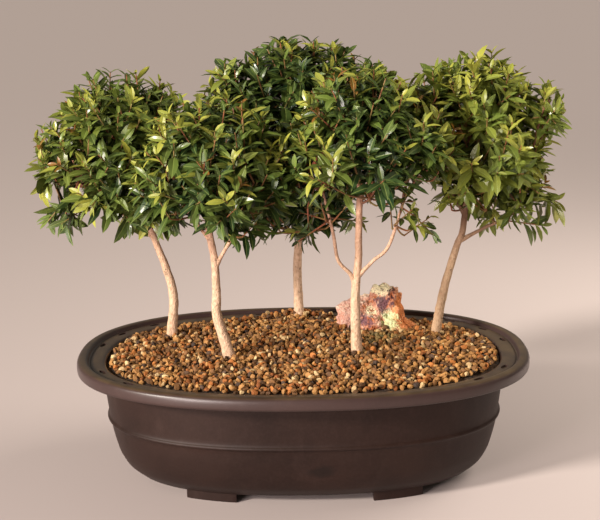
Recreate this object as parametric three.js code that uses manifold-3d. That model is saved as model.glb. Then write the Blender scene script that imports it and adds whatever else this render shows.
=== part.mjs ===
// Brush cherry forest bonsai: five small trees in a long oval pot, with gravel and one stone.
// Millimetres, +Z up. The origin is under the middle of the pot, at the height that its feet stand
// on. X runs along the pot, and -Y is the front.

import * as THREE from "three";
import { mergeVertices } from "three/addons/utils/BufferGeometryUtils.js";
import Module from "manifold-3d";

const wasm = await Module();
wasm.setup();

// Driving dimensions
const GAP = 0.3; // clearance between pieces that touch
const SLACK = 0.1; // added to the gap where a flat-sided piece meets another with other corners
const POT_HALF_LENGTH = 190;
const POT_HALF_DEPTH = 142;
const POT_HEIGHT = 104;
const OVAL_POWER = 2.35; // 2 is an ellipse, more is fuller at the corners
const OVAL_SIDES = 36;
const FOOT_HEIGHT = 8;
const FOOT_NEAR = 55; // each foot's span along X
const FOOT_FAR = 96;
const FOOT_INSET = 49.5; // the feet's outer and inner faces, in from the rim
const FOOT_BACK_INSET = 76;
const RIM_SLOT = { length: 7, width: 1.8, inset: 11.2, count: 8, cut: 20 }; // cut goes right through
const DRAIN_HOLE = { radius: 6, alongX: 70, alongY: 32, cut: 20, sides: 10 };
const WALL_TOP_INSET = 24.5; // the pot's inner wall, in from the rim, where the gravel meets it
const SOIL_TOP = 92;
const GRAVEL_EDGE = 99.5; // height of the gravel along the wall
const GRAVEL_RISE = 4; // how far it mounds up towards the middle
const GRAIN = 9.6; // spacing of the gravel's relief points, three to a grain
const GRAIN_HEIGHT = 3;
const GRAIN_DRIFT = 1.1; // how far a relief point strays from its place in the net
const HEAP = { x: -3, y: 110, spread: 18, height: 3 }; // gravel banked against the back wall
const SLAB_BOTTOM = 60; // under the gravel's own bottom, so that the oval cuts it flat
const LEAF_LENGTH = 24;
const LEAF_WIDTH = 9;
const LEAF_THICKNESS = 1.2; // at a whorl's middle, above and below the leaves
const LEAF_FOLD = 0.8; // how far a leaf's edges stand above its rib
const LEAF_MARKS = [0.45, 0.75, 1]; // shares of a leaf's length: its widest place, and on to its tip
const LEAF_CLEARANCE = 6; // between the marks of two leaves
const LEAF_TRIES = 8; // draws for a leaf before its place stays empty
const LEAVES_PER_WHORL = 6;
const WHORL_EYE = 2.8; // radius at which neighbouring leaves of a whorl part
const STALK = [4, 15]; // a whorl's middle above the core, shortest and longest
const STALK_RADIUS = 1.4;
const ROOT_DEPTH = 4; // how far a stalk is sunk in the core
const CORE_DEPTH = 28; // from a crown's outline to its core
const CORE_KNOBS = 4; // how far the core's corners stand in or out
const WHORLS_PER_CROWN = 26; // spread all round, less those that would reach into the next crown
const TRUNK_NET = { sides: 7, steps: 10 };
const BRANCH_NET = { sides: 5, steps: 3 };
const ROOT_FLARE = { more: 0.28, at: 0.16, over: 0.07 }; // a trunk's swelling at the gravel, in shares
const NO_FLARE = { more: 0, at: 0, over: 1 };

// The pot's outside, from under its floor up to the rim, as [inset from the rim, height].
const POT_OUTSIDE = [
  [47.8, FOOT_HEIGHT],
  [38, 16],
  [32.5, 26],
  [28.4, 41],
  [25.9, 54],
  [24.4, 55.2],
  [25.3, 57],
  [21.4, 90],
  [20.8, 98.8],
  [4.2, 98.8],
  [3.2, 93.5],
  [1, 93.5],
  [0, 95],
  [0, 101.2],
  [1.6, 103.4],
  [4, POT_HEIGHT],
  [8.6, POT_HEIGHT],
  [10.4, 101.4],
  [22, 101],
];

// Its inside, from the rim down to the floor. The soil follows the same lines.
const POT_INSIDE = [
  [WALL_TOP_INSET, 98.6],
  [28.6, 57],
  [33, 34],
  [41, 19],
  [51, 12],
];

// Trees. The trunk and each branch are given as points [x, y, z] with a radius at both ends, and a
// crown as its axis [x, y] and the lobes of its outline, each [x, y, z, half-sizes].
const TREES = [
  {
    seed: 11,
    trunk: { from: 5.2, to: 2.4, points: [[-115, 53, 66], [-116, 53, 101], [-113, 51, 136], [-118, 49, 162],
      [-126, 48, 185], [-137, 47, 220], [-146, 46, 262]] },
    branches: [
      { from: 2.6, to: 1.6, points: [[-127, 48, 190], [-152, 44, 212], [-182, 41, 238]] },
      { from: 2.4, to: 1.5, points: [[-133, 47, 208], [-121, 58, 230], [-116, 62, 252]] },
    ],
    axis: [-150, 45],
    lobes: [
      [-150, 45, 290, 60, 54, 50],
      [-194, 40, 262, 41, 44, 40],
      [-112, 52, 262, 42, 48, 44],
      [-192, 34, 226, 36, 36, 28],
      [-140, 72, 244, 50, 42, 40],
      [-150, 12, 250, 46, 36, 42],
    ],
  },
  {
    seed: 23,
    trunk: { from: 6, to: 2.3, points: [[-56, -22, 66], [-61, -21, 101], [-71, -20, 138], [-71, -20, 157],
      [-72, -20, 186], [-76, -20, 214], [-74, -21, 258]] },
    branches: [
      { from: 2.6, to: 1.7, points: [[-71, -20, 180], [-66, -21, 189], [-55, -22, 208], [-42, -24, 236]] },
      { from: 2.3, to: 1.5, points: [[-74, -20, 200], [-90, -19, 222], [-102, -18, 242]] },
    ],
    axis: [-72, -22],
    lobes: [
      [-72, -22, 280, 54, 52, 46],
      [-104, -20, 250, 38, 42, 38],
      [-36, -25, 254, 38, 42, 40],
      [-70, -56, 246, 44, 38, 38],
      [-70, 12, 246, 44, 32, 38],
      [-62, -30, 214, 42, 38, 32],
    ],
  },
  {
    seed: 37,
    trunk: { from: 5, to: 2.6, points: [[-3, 100, 66], [-3, 105, 103], [-4, 106, 143], [-3, 104, 170],
      [-2, 100, 205], [0, 92, 250], [1, 84, 296]] },
    branches: [
      { from: 2.6, to: 1.6, points: [[-2, 101, 196], [-22, 93, 222], [-36, 80, 262]] },
      { from: 2.6, to: 1.6, points: [[-2, 99, 212], [18, 92, 236], [34, 82, 272]] },
    ],
    axis: [-2, 82],
    lobes: [
      [-1, 76, 321, 58, 50, 46],
      [-40, 72, 300, 38, 42, 38],
      [36, 76, 304, 38, 42, 40],
      [0, 107, 286, 50, 36, 46],
      [0, 78, 262, 62, 50, 46],
      [0, 88, 220, 52, 42, 42],
    ],
  },
  {
    seed: 41,
    trunk: { from: 5.2, to: 2.5, points: [[45, -14, 66], [45, -14, 101], [44, -14, 149], [47, -14, 184],
      [47, -15, 198], [48, -15, 231], [50, -14, 272]] },
    branches: [
      { from: 2.6, to: 1.6, points: [[44, -14, 161], [40, -15, 171], [30, -17, 183], [26, -18, 206],
        [18, -18, 240]] },
      { from: 2.6, to: 1.6, points: [[46, -14, 168], [59, -16, 182], [72, -17, 195], [84, -16, 232]] },
    ],
    axis: [47, -15],
    lobes: [
      [48, -10, 300, 54, 50, 47],
      [8, -15, 264, 44, 44, 42],
      [90, -12, 270, 38, 44, 42],
      [50, -54, 262, 48, 40, 42],
      [54, 24, 262, 46, 34, 42],
      [46, -20, 222, 54, 46, 40],
    ],
  },
  {
    seed: 60,
    trunk: { from: 5, to: 2.4, points: [[117, 51, 66], [118, 51, 102], [125, 50, 143], [135, 49, 179],
      [140, 48, 193], [143, 48, 219], [149, 47, 266]] },
    branches: [
      { from: 2.6, to: 1.7, points: [[137, 49, 184], [158, 46, 196], [177, 44, 207], [194, 43, 236]] },
      { from: 2.3, to: 1.5, points: [[142, 48, 206], [130, 47, 230], [122, 46, 256]] },
    ],
    axis: [150, 48],
    lobes: [
      [150, 48, 304, 52, 52, 46],
      [121, 46, 276, 38, 44, 42],
      [194, 45, 262, 40, 44, 42],
      [154, 8, 260, 45, 38, 42],
      [154, 86, 262, 45, 36, 42],
      [166, 45, 222, 54, 44, 36],
    ],
  },
];

const STONE = { at: [67, 76, 99], half: [37, 22], height: 37, root: 6, lean: 7 };

const UP = new THREE.Vector3(0, 0, 1);

// A seeded random source: the same draws on every run.
function drawsFrom(seed) {
  let state = seed;
  return (low, high) => {
    state = (state * 1664525 + 1013904223) % 4294967296;
    return low + ((high - low) * state) / 4294967296;
  };
}

// A closed solid from a geometry whose triangles leave no gap.
function solidOf(geometry) {
  const bare = geometry.clone();
  bare.deleteAttribute("normal");
  bare.deleteAttribute("uv");
  const merged = mergeVertices(bare, 1e-4);
  return new wasm.Manifold(
    new wasm.Mesh({
      numProp: 3,
      vertProperties: merged.attributes.position.array,
      triVerts: new Uint32Array(merged.index.array),
    }),
  );
}

function geometryOf(solid) {
  const mesh = solid.getMesh();
  const geometry = new THREE.BufferGeometry();
  geometry.setAttribute("position", new THREE.BufferAttribute(mesh.vertProperties, 3));
  geometry.setIndex(new THREE.BufferAttribute(mesh.triVerts, 1));
  geometry.computeVertexNormals();
  return geometry;
}

function largestBody(solid) {
  return solid.decompose().reduce((best, body) => (body.volume() > best.volume() ? body : best));
}

function joined(solids) {
  return solids.reduce((all, solid) => all.add(solid));
}

// A closed skin through rings of points, each ring anticlockwise seen from the end that the rings
// run towards. A ring of one point closes that end, and neighbours may differ in their counts.
function skin(rings) {
  const positions = rings.flat().flatMap((point) => point.toArray());
  const faces = [];
  let start = 0;
  for (let i = 0; i + 1 < rings.length; i++) {
    const [low, high] = [rings[i], rings[i + 1]];
    const highStart = start + low.length;
    const count = Math.max(low.length, high.length);
    const spot = (ring, k) => Math.floor((k * ring.length) / count) % ring.length;
    for (let j = 0; j < count; j++) {
      const [lowHere, lowNext] = [start + spot(low, j), start + spot(low, j + 1)];
      const [highHere, highNext] = [highStart + spot(high, j), highStart + spot(high, j + 1)];
      if (lowHere !== lowNext) faces.push(lowHere, lowNext, highNext);
      if (highHere !== highNext) faces.push(lowHere, highNext, highHere);
    }
    start = highStart;
  }
  const geometry = new THREE.BufferGeometry();
  geometry.setAttribute("position", new THREE.Float32BufferAttribute(positions, 3));
  geometry.setIndex(faces);
  return solidOf(geometry);
}

// A number raised to a power, with its own sign.
function signedPower(value, power) {
  return Math.sign(value) * Math.abs(value) ** power;
}

// One turn of the pot's oval, a distance in from the rim's outer edge.
function ovalRing(inset, height) {
  const ring = [];
  for (let i = 0; i < OVAL_SIDES; i++) {
    const angle = (2 * Math.PI * i) / OVAL_SIDES;
    const across = signedPower(Math.cos(angle), 2 / OVAL_POWER);
    const deep = signedPower(Math.sin(angle), 2 / OVAL_POWER);
    const outward = new THREE.Vector3(
      signedPower(across, OVAL_POWER - 1) / POT_HALF_LENGTH,
      signedPower(deep, OVAL_POWER - 1) / POT_HALF_DEPTH,
      0,
    ).normalize();
    const rim = new THREE.Vector3(POT_HALF_LENGTH * across, POT_HALF_DEPTH * deep, height);
    ring.push(rim.addScaledVector(outward, -inset));
  }
  return ring;
}

// A solid of stacked oval turns with flat ends.
function ovalSolid(turns) {
  const [first, last] = [turns[0], turns[turns.length - 1]];
  return skin([
    [new THREE.Vector3(0, 0, first[1])],
    ...turns.map(([inset, height]) => ovalRing(inset, height)),
    [new THREE.Vector3(0, 0, last[1])],
  ]);
}

function boxSolid(width, depth, height, x, y, z, turn = 0) {
  const box = new THREE.BoxGeometry(width, depth, height);
  box.rotateZ(turn);
  box.translate(x, y, z);
  return solidOf(box);
}

// The four feet: stretches of one oval band under the body.
function feet() {
  const top = FOOT_HEIGHT + 2;
  const band = ovalSolid([[FOOT_INSET, 0], [FOOT_INSET - 1.5, top]]).subtract(
    ovalSolid([[FOOT_BACK_INSET, -1], [FOOT_BACK_INSET, top + 1]]),
  );
  const width = FOOT_FAR - FOOT_NEAR;
  const middle = (FOOT_FAR + FOOT_NEAR) / 2;
  const stretches = [-1, 1].flatMap((side) =>
    [-1, 1].map((end) =>
      boxSolid(width, POT_HALF_DEPTH, 3 * top, side * middle, (end * POT_HALF_DEPTH) / 2, 0),
    ),
  );
  return band.intersect(joined(stretches));
}

// The moulded pot: body, rim with its hollow skirt, feet, tie slots and drainage holes.
function potSolid() {
  let pot = ovalSolid([...POT_OUTSIDE, ...POT_INSIDE]).add(feet());
  for (let i = 0; i < RIM_SLOT.count; i++) {
    const ring = ovalRing(RIM_SLOT.inset, POT_HEIGHT);
    const step = Math.round(((i + 0.5) * OVAL_SIDES) / RIM_SLOT.count) % OVAL_SIDES;
    const [here, next] = [ring[step], ring[(step + 1) % OVAL_SIDES]];
    const turn = Math.atan2(next.y - here.y, next.x - here.x);
    const { x, y } = here.clone().add(next).multiplyScalar(0.5);
    pot = pot.subtract(boxSolid(RIM_SLOT.length, RIM_SLOT.width, RIM_SLOT.cut, x, y, POT_HEIGHT, turn));
  }
  for (const side of [-1, 1]) {
    for (const end of [-1, 1]) {
      const { radius, cut, sides } = DRAIN_HOLE;
      const hole = new THREE.CylinderGeometry(radius, radius, cut, sides);
      hole.rotateX(Math.PI / 2);
      hole.translate(side * DRAIN_HOLE.alongX, end * DRAIN_HOLE.alongY, FOOT_HEIGHT);
      pot = pot.subtract(solidOf(hole));
    }
  }
  return pot;
}

// How far in from the rim the filling's edge lies at a height on the upper wall, clear of the wall.
function fillInset(height) {
  const [[topInset, top], [lowInset, low]] = POT_INSIDE;
  const share = (top - Math.min(height, top)) / (top - low);
  return topInset + share * (lowInset - topInset) + GAP + SLACK;
}

function soilSolid() {
  const turns = POT_INSIDE.slice(1).map(([inset, height]) => [inset + GAP + SLACK, height + GAP]);
  return ovalSolid([...turns.reverse(), [fillInset(SOIL_TOP), SOIL_TOP]]);
}

// Height of the gravel's surface without its grains.
function gravelHeight(x, y) {
  const across = Math.abs(x / (POT_HALF_LENGTH - WALL_TOP_INSET)) ** OVAL_POWER;
  const deep = Math.abs(y / (POT_HALF_DEPTH - WALL_TOP_INSET)) ** OVAL_POWER;
  const inside = Math.max(0, 1 - across - deep);
  const fromHeap = Math.hypot(x - HEAP.x, y - HEAP.y) / HEAP.spread;
  return GRAVEL_EDGE + GRAVEL_RISE * inside ** 0.6 + HEAP.height * Math.exp(-(fromHeap ** 2));
}

// The gravel: a slab whose top is a net of triangles, every third point of which is a grain's top,
// cut to the pot's oval.
function gravelSolid() {
  const draw = drawsFrom(7);
  const rowStep = (GRAIN * Math.sqrt(3)) / 2;
  const columns = Math.ceil(POT_HALF_LENGTH / GRAIN);
  const rows = Math.ceil(POT_HALF_DEPTH / rowStep);
  const positions = [];
  const faces = [];
  const bottom = SOIL_TOP + GAP;
  const width = 2 * columns + 1;
  const height = 2 * rows + 1;
  for (let row = 0; row < height; row++) {
    for (let column = 0; column < width; column++) {
      const oblique = column - Math.floor(row / 2);
      const isTop = (((oblique - row) % 3) + 3) % 3 === 0;
      const x = (column - columns + (row % 2) / 2) * GRAIN + draw(-GRAIN_DRIFT, GRAIN_DRIFT);
      const y = (row - rows) * rowStep + draw(-GRAIN_DRIFT, GRAIN_DRIFT);
      const lift = isTop ? draw(0.5, 1.2) * GRAIN_HEIGHT : draw(-0.2, 0.2) * GRAIN_HEIGHT;
      positions.push(x, y, gravelHeight(x, y) + lift);
    }
  }
  const at = (row, column) => row * width + column;
  for (let row = 0; row + 1 < height; row++) {
    for (let column = 0; column + 1 < width; column++) {
      const [a, b] = [at(row, column), at(row, column + 1)];
      const [c, d] = [at(row + 1, column), at(row + 1, column + 1)];
      if (row % 2) faces.push(a, b, d, a, d, c);
      else faces.push(a, b, c, b, d, c);
    }
  }
  const border = [];
  for (let column = 0; column < width - 1; column++) border.push(at(0, column));
  for (let row = 0; row < height - 1; row++) border.push(at(row, width - 1));
  for (let column = width - 1; column > 0; column--) border.push(at(height - 1, column));
  for (let row = height - 1; row > 0; row--) border.push(at(row, 0));
  const lowStart = positions.length / 3;
  border.forEach((i) => positions.push(positions[3 * i], positions[3 * i + 1], SLAB_BOTTOM));
  const centre = positions.length / 3;
  positions.push(0, 0, SLAB_BOTTOM);
  border.forEach((top, i) => {
    const following = (i + 1) % border.length;
    faces.push(lowStart + i, lowStart + following, border[following]);
    faces.push(lowStart + i, border[following], top);
    faces.push(centre, lowStart + following, lowStart + i);
  });
  const geometry = new THREE.BufferGeometry();
  geometry.setAttribute("position", new THREE.Float32BufferAttribute(positions, 3));
  geometry.setIndex(faces);
  const inset = fillInset(bottom);
  return solidOf(geometry).intersect(ovalSolid([[inset, bottom], [inset, 2 * POT_HEIGHT]]));
}

// The stone: a sphere's net pushed in and out by a formula, its underside nearly flat.
function stoneSolid(extra) {
  const geometry = new THREE.IcosahedronGeometry(1, 3);
  const points = geometry.attributes.position;
  for (let i = 0; i < points.count; i++) {
    const [x, y, z] = [points.getX(i), points.getY(i), points.getZ(i)];
    const bumps =
      0.11 * Math.sin(5.1 * x + 1.3) * Math.cos(4.3 * y + 0.7) +
      0.09 * Math.sin(7.7 * z + 3.1 * x) +
      0.07 * Math.cos(9.2 * x - 6.4 * y + 2);
    const swell = 0.94 + bumps;
    const up = z > 0 ? (STONE.height + extra) * z * swell : (STONE.root + extra) * z;
    points.setXYZ(
      i,
      STONE.at[0] + (STONE.half[0] + extra) * x * swell + STONE.lean * Math.max(z, 0),
      STONE.at[1] + (STONE.half[1] + extra) * y * swell,
      STONE.at[2] + up,
    );
  }
  return solidOf(geometry);
}

function middleOf(points) {
  return points.reduce((sum, point) => sum.add(point), new THREE.Vector3()).divideScalar(points.length);
}

// A round stem along a smooth line, thinning from its start to its end.
function stem({ points, from, to }, { sides, steps }, extra, flare = NO_FLARE) {
  const curve = new THREE.CatmullRomCurve3(points.map((point) => new THREE.Vector3(...point)));
  const frames = curve.computeFrenetFrames(steps, false);
  const rings = frames.tangents.map((tangent, i) => {
    const share = i / steps;
    const beyondEnd = { 0: -extra, [steps]: extra }[i] ?? 0;
    const centre = curve.getPointAt(share).addScaledVector(tangent, beyondEnd);
    const swelling = flare.more * Math.exp(-(((share - flare.at) / flare.over) ** 2));
    const knots = 1 + 0.06 * Math.sin(9 * share + from) + swelling;
    const radius = (from + (to - from) * share) * knots + extra;
    return Array.from({ length: sides }, (_, j) => {
      const angle = (2 * Math.PI * j) / sides;
      return centre
        .clone()
        .addScaledVector(frames.normals[i], radius * Math.cos(angle))
        .addScaledVector(frames.binormals[i], radius * Math.sin(angle));
    });
  });
  return skin([[middleOf(rings[0])], ...rings, [middleOf(rings[steps])]]);
}

// A trunk with its branches. The extra thickness is for the hole that it stands in.
function trunkSolid(tree, extra) {
  const branches = tree.branches.map((branch) => stem(branch, BRANCH_NET, extra));
  return joined([stem(tree.trunk, TRUNK_NET, extra, ROOT_FLARE), ...branches]);
}

// Whether a crown's point lies nearer to its own tree's axis than to any other's, by a margin.
function isOwn(tree, x, y, margin) {
  const own = Math.hypot(x - tree.axis[0], y - tree.axis[1]);
  return TREES.every((other) => {
    if (other === tree) return true;
    const between = Math.hypot(other.axis[0] - tree.axis[0], other.axis[1] - tree.axis[1]);
    const theirs = Math.hypot(x - other.axis[0], y - other.axis[1]);
    return (theirs ** 2 - own ** 2) / (2 * between) > margin;
  });
}

// Cuts a crown's solid back to the space nearer to its own tree.
function cutToOwn(solid, tree) {
  return TREES.filter((other) => other !== tree).reduce((rest, other) => {
    const [dx, dy] = [tree.axis[0] - other.axis[0], tree.axis[1] - other.axis[1]];
    const between = Math.hypot(dx, dy);
    const normal = [dx / between, dy / between, 0];
    const middle = [(tree.axis[0] + other.axis[0]) / 2, (tree.axis[1] + other.axis[1]) / 2];
    const offset = normal[0] * middle[0] + normal[1] * middle[1];
    return rest.trimByPlane(normal, offset + GAP / 2 + SLACK);
  }, solid);
}

function crownCentre(tree) {
  return middleOf(tree.lobes.map(([x, y, z]) => new THREE.Vector3(x, y, z)));
}

// How far a crown's outline reaches from its centre in a direction: the farthest of its lobes.
function outlineReach(tree, unit) {
  const centre = crownCentre(tree);
  const reaches = tree.lobes.map(([x, y, z, ...half]) => {
    const size = new THREE.Vector3(...half);
    const from = centre.clone().sub(new THREE.Vector3(x, y, z)).divide(size);
    const ray = unit.clone().divide(size);
    const [a, b, c] = [ray.dot(ray), 2 * from.dot(ray), from.dot(from) - 1];
    const root = b * b - 4 * a * c;
    return root < 0 ? 0 : (-b + Math.sqrt(root)) / (2 * a);
  });
  return Math.max(...reaches);
}

// A crown's rough core: its outline, smaller, with corners that stand in and out.
function coreGeometry(tree, draw) {
  const core = new THREE.IcosahedronGeometry(1, 2);
  const points = core.attributes.position;
  const centre = crownCentre(tree);
  const moved = new Map();
  for (let i = 0; i < points.count; i++) {
    const unit = new THREE.Vector3().fromBufferAttribute(points, i);
    const key = unit.toArray().map((value) => value.toFixed(3)).join();
    if (!moved.has(key)) {
      const reach = outlineReach(tree, unit) - CORE_DEPTH + draw(-CORE_KNOBS, CORE_KNOBS);
      moved.set(key, unit.multiplyScalar(reach).add(centre));
    }
    points.setXYZ(i, ...moved.get(key).toArray());
  }
  return core;
}

// Where the line from a crown's centre in a direction leaves its core, and the core's face there.
function coreSurface(core, centre, unit) {
  const outside = centre.clone().addScaledVector(unit, POT_HALF_LENGTH);
  const ray = new THREE.Raycaster(outside, unit.clone().negate());
  return ray.intersectObject(new THREE.Mesh(core, new THREE.MeshBasicMaterial()))[0];
}

// A shoot: a slim stalk that ends in a whorl of pointed leaves, in one closed skin. The stalk's
// root is inside the core. The points along earlier leaves are in taken: a leaf that would cross one
// is drawn again, and left out where no draw is clear.
function whorl(tree, root, direction, taken, draw) {
  const middle = root.clone().addScaledVector(direction, ROOT_DEPTH + draw(...STALK));
  const helper = Math.abs(direction.z) > 0.9 ? new THREE.Vector3(1, 0, 0) : UP;
  const sideways = new THREE.Vector3().crossVectors(direction, helper).normalize();
  const phase = draw(0, Math.PI);
  const pitch = (2 * Math.PI) / LEAVES_PER_WHORL;
  const ring = [];
  const place = (turn, isSteep) => {
    const outward = sideways.clone().applyAxisAngle(direction, turn + draw(-0.2, 0.2));
    const rise = isSteep ? draw(0.8, 1.8) : draw(0.1, 0.6);
    const along = outward.clone().addScaledVector(direction, rise).normalize();
    const size = draw(0.85, 1.1);
    const length = LEAF_LENGTH * size;
    const marks = LEAF_MARKS.map((share) => middle.clone().addScaledVector(along, length * share));
    const isNear = (mark, other) => other.distanceTo(mark) < LEAF_CLEARANCE;
    const crosses = marks.some((mark) => taken.some((other) => isNear(mark, other)));
    const strays = marks.some((mark) => !isOwn(tree, mark.x, mark.y, LEAF_WIDTH / 2));
    if (crosses || strays) return false;
    taken.push(...marks);
    const across = new THREE.Vector3().crossVectors(direction, outward);
    across.multiplyScalar((LEAF_WIDTH / 2) * size);
    const upper = new THREE.Vector3().crossVectors(along, across).normalize();
    const belly = marks[0].clone().addScaledVector(upper, LEAF_FOLD);
    ring.push(belly.clone().sub(across), marks[2], belly.clone().add(across));
    return true;
  };
  for (let i = 0; i < LEAVES_PER_WHORL; i++) {
    const turn = phase + i * pitch;
    let isPlaced = false;
    for (let attempt = 0; attempt < LEAF_TRIES && !isPlaced; attempt++) {
      isPlaced = place(turn, i % 2 === 0);
    }
    const valley = sideways.clone().applyAxisAngle(direction, turn + pitch / 2);
    ring.push(middle.clone().addScaledVector(valley, WHORL_EYE));
  }
  const neck = [0, 1, 2].map((corner) => {
    const side = sideways.clone().applyAxisAngle(direction, phase + (corner * 2 * Math.PI) / 3);
    return middle.clone().addScaledVector(side, STALK_RADIUS).addScaledVector(direction, -LEAF_THICKNESS);
  });
  return skin([[root], neck, ring, [middle.clone().addScaledVector(direction, LEAF_THICKNESS)]]);
}

// One crown: core and leaves in one body, with the hole that its trunk and branches fill. The
// shoots' directions follow a spiral from top to bottom, which spreads them evenly.
function crownSolid(tree) {
  const draw = drawsFrom(tree.seed);
  const core = coreGeometry(tree, draw);
  const parts = [solidOf(core)];
  const centre = crownCentre(tree);
  const taken = [];
  for (let i = 0; i < WHORLS_PER_CROWN; i++) {
    const height = 1 - (2 * (i + 0.5)) / WHORLS_PER_CROWN;
    const turn = i * Math.PI * (3 - Math.sqrt(5)) + draw(-0.2, 0.2);
    const flat = Math.sqrt(1 - height * height);
    const unit = new THREE.Vector3(flat * Math.cos(turn), flat * Math.sin(turn), height);
    const { point, face } = coreSurface(core, centre, unit);
    const direction = unit.add(face.normal).normalize();
    const root = point.addScaledVector(direction, -ROOT_DEPTH);
    if (isOwn(tree, point.x, point.y, LEAF_WIDTH)) parts.push(whorl(tree, root, direction, taken, draw));
  }
  const whole = cutToOwn(joined(parts), tree);
  return largestBody(whole.subtract(trunkSolid(tree, GAP + SLACK / 2)));
}

const FINISHES = {
  pot: { color: 0x3b302c, roughness: 0.55, metalness: 0 },
  soil: { color: 0x2e221a, roughness: 0.95, metalness: 0 },
  gravel: { color: 0x9a7048, roughness: 0.9, metalness: 0 },
  rock: { color: 0xa5583c, roughness: 0.85, metalness: 0 },
  bark: { color: 0xc9a884, roughness: 0.8, metalness: 0 },
  foliage: { color: 0x2f5a24, roughness: 0.4, metalness: 0 },
};

const bonsai = new THREE.Group();

function addPiece(name, solid, finish) {
  const mesh = new THREE.Mesh(geometryOf(solid), new THREE.MeshStandardMaterial(finish));
  mesh.name = name;
  bonsai.add(mesh);
}

const holes = joined(TREES.map((tree) => stem(tree.trunk, TRUNK_NET, GAP, ROOT_FLARE)));
const stoneSeat = stoneSolid(GAP + SLACK);

addPiece("pot", potSolid(), FINISHES.pot);
addPiece("soil", soilSolid().subtract(holes), FINISHES.soil);
addPiece("gravel", largestBody(gravelSolid().subtract(holes).subtract(stoneSeat)), FINISHES.gravel);
addPiece("rock", stoneSolid(0), FINISHES.rock);
TREES.forEach((tree, i) => {
  addPiece(`trunk_${i + 1}`, trunkSolid(tree, 0), FINISHES.bark);
  addPiece(`crown_${i + 1}`, crownSolid(tree), FINISHES.foliage);
});

export default bonsai;
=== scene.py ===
"""Looks of the brush cherry forest bonsai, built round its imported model.

Five small trees stand in a long oval pot, with gravel and one stone. Shapes are sized in
millimetres and turned to metres where a mesh is made. Finishes, lamps and the camera are placed
in metres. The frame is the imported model's: +Z up, the origin under the middle of the pot, X
along the pot and -Y its front.
"""

import logging
import math
from collections.abc import Callable
from dataclasses import dataclass
from enum import Enum
from typing import Any

import bmesh
import bpy
import numpy as np
from mathutils import Matrix, Vector, noise


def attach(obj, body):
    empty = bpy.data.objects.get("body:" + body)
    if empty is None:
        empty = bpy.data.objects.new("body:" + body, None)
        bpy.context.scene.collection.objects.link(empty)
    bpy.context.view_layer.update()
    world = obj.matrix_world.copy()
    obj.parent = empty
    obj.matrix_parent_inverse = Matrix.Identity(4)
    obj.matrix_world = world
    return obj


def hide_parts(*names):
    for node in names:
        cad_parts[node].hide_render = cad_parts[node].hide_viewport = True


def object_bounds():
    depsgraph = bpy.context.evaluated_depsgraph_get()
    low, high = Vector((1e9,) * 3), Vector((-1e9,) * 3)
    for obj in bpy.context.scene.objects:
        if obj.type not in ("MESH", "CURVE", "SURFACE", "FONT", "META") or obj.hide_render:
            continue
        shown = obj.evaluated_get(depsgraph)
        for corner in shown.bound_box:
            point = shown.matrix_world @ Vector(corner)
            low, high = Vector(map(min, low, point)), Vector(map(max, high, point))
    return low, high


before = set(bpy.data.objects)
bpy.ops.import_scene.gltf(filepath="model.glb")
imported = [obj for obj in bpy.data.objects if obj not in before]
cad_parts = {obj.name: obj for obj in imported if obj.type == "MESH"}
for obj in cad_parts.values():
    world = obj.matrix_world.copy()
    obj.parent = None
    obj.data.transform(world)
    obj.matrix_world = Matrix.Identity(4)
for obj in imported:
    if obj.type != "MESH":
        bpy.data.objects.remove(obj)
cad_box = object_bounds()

log = logging.getLogger("bonsai")

MM = 0.001
UP = np.array([0.0, 0.0, 1.0])
EVEN = (1.0, 1.0, 1.0)
Triple = tuple[float, float, float]
Colour = tuple[float, float, float, float]
Points = np.ndarray
Draw = np.random.Generator
Piece = bpy.types.Object
Material = bpy.types.Material
Socket = bpy.types.NodeSocket


class Slot(Enum):
    """The record's material slots."""

    POT = "pot"
    SOIL = "soil"
    GRAVEL = "gravel"
    ROCK = "rock"
    BARK = "bark"
    FOLIAGE = "foliage"


class Flush(Enum):
    """How young a leaf is, as its place on the leaf colours' ramp."""

    MATURE = 0.0
    FRESH = 0.5
    BRONZE = 1.0


def colour(red: float, green: float, blue: float) -> Colour:
    """A linear colour with full alpha."""
    return (red, green, blue, 1.0)


def unit(vector: Points) -> Points:
    """The vector, or each row of vectors, at length one."""
    return vector / np.linalg.norm(vector, axis=-1, keepdims=True)


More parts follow.
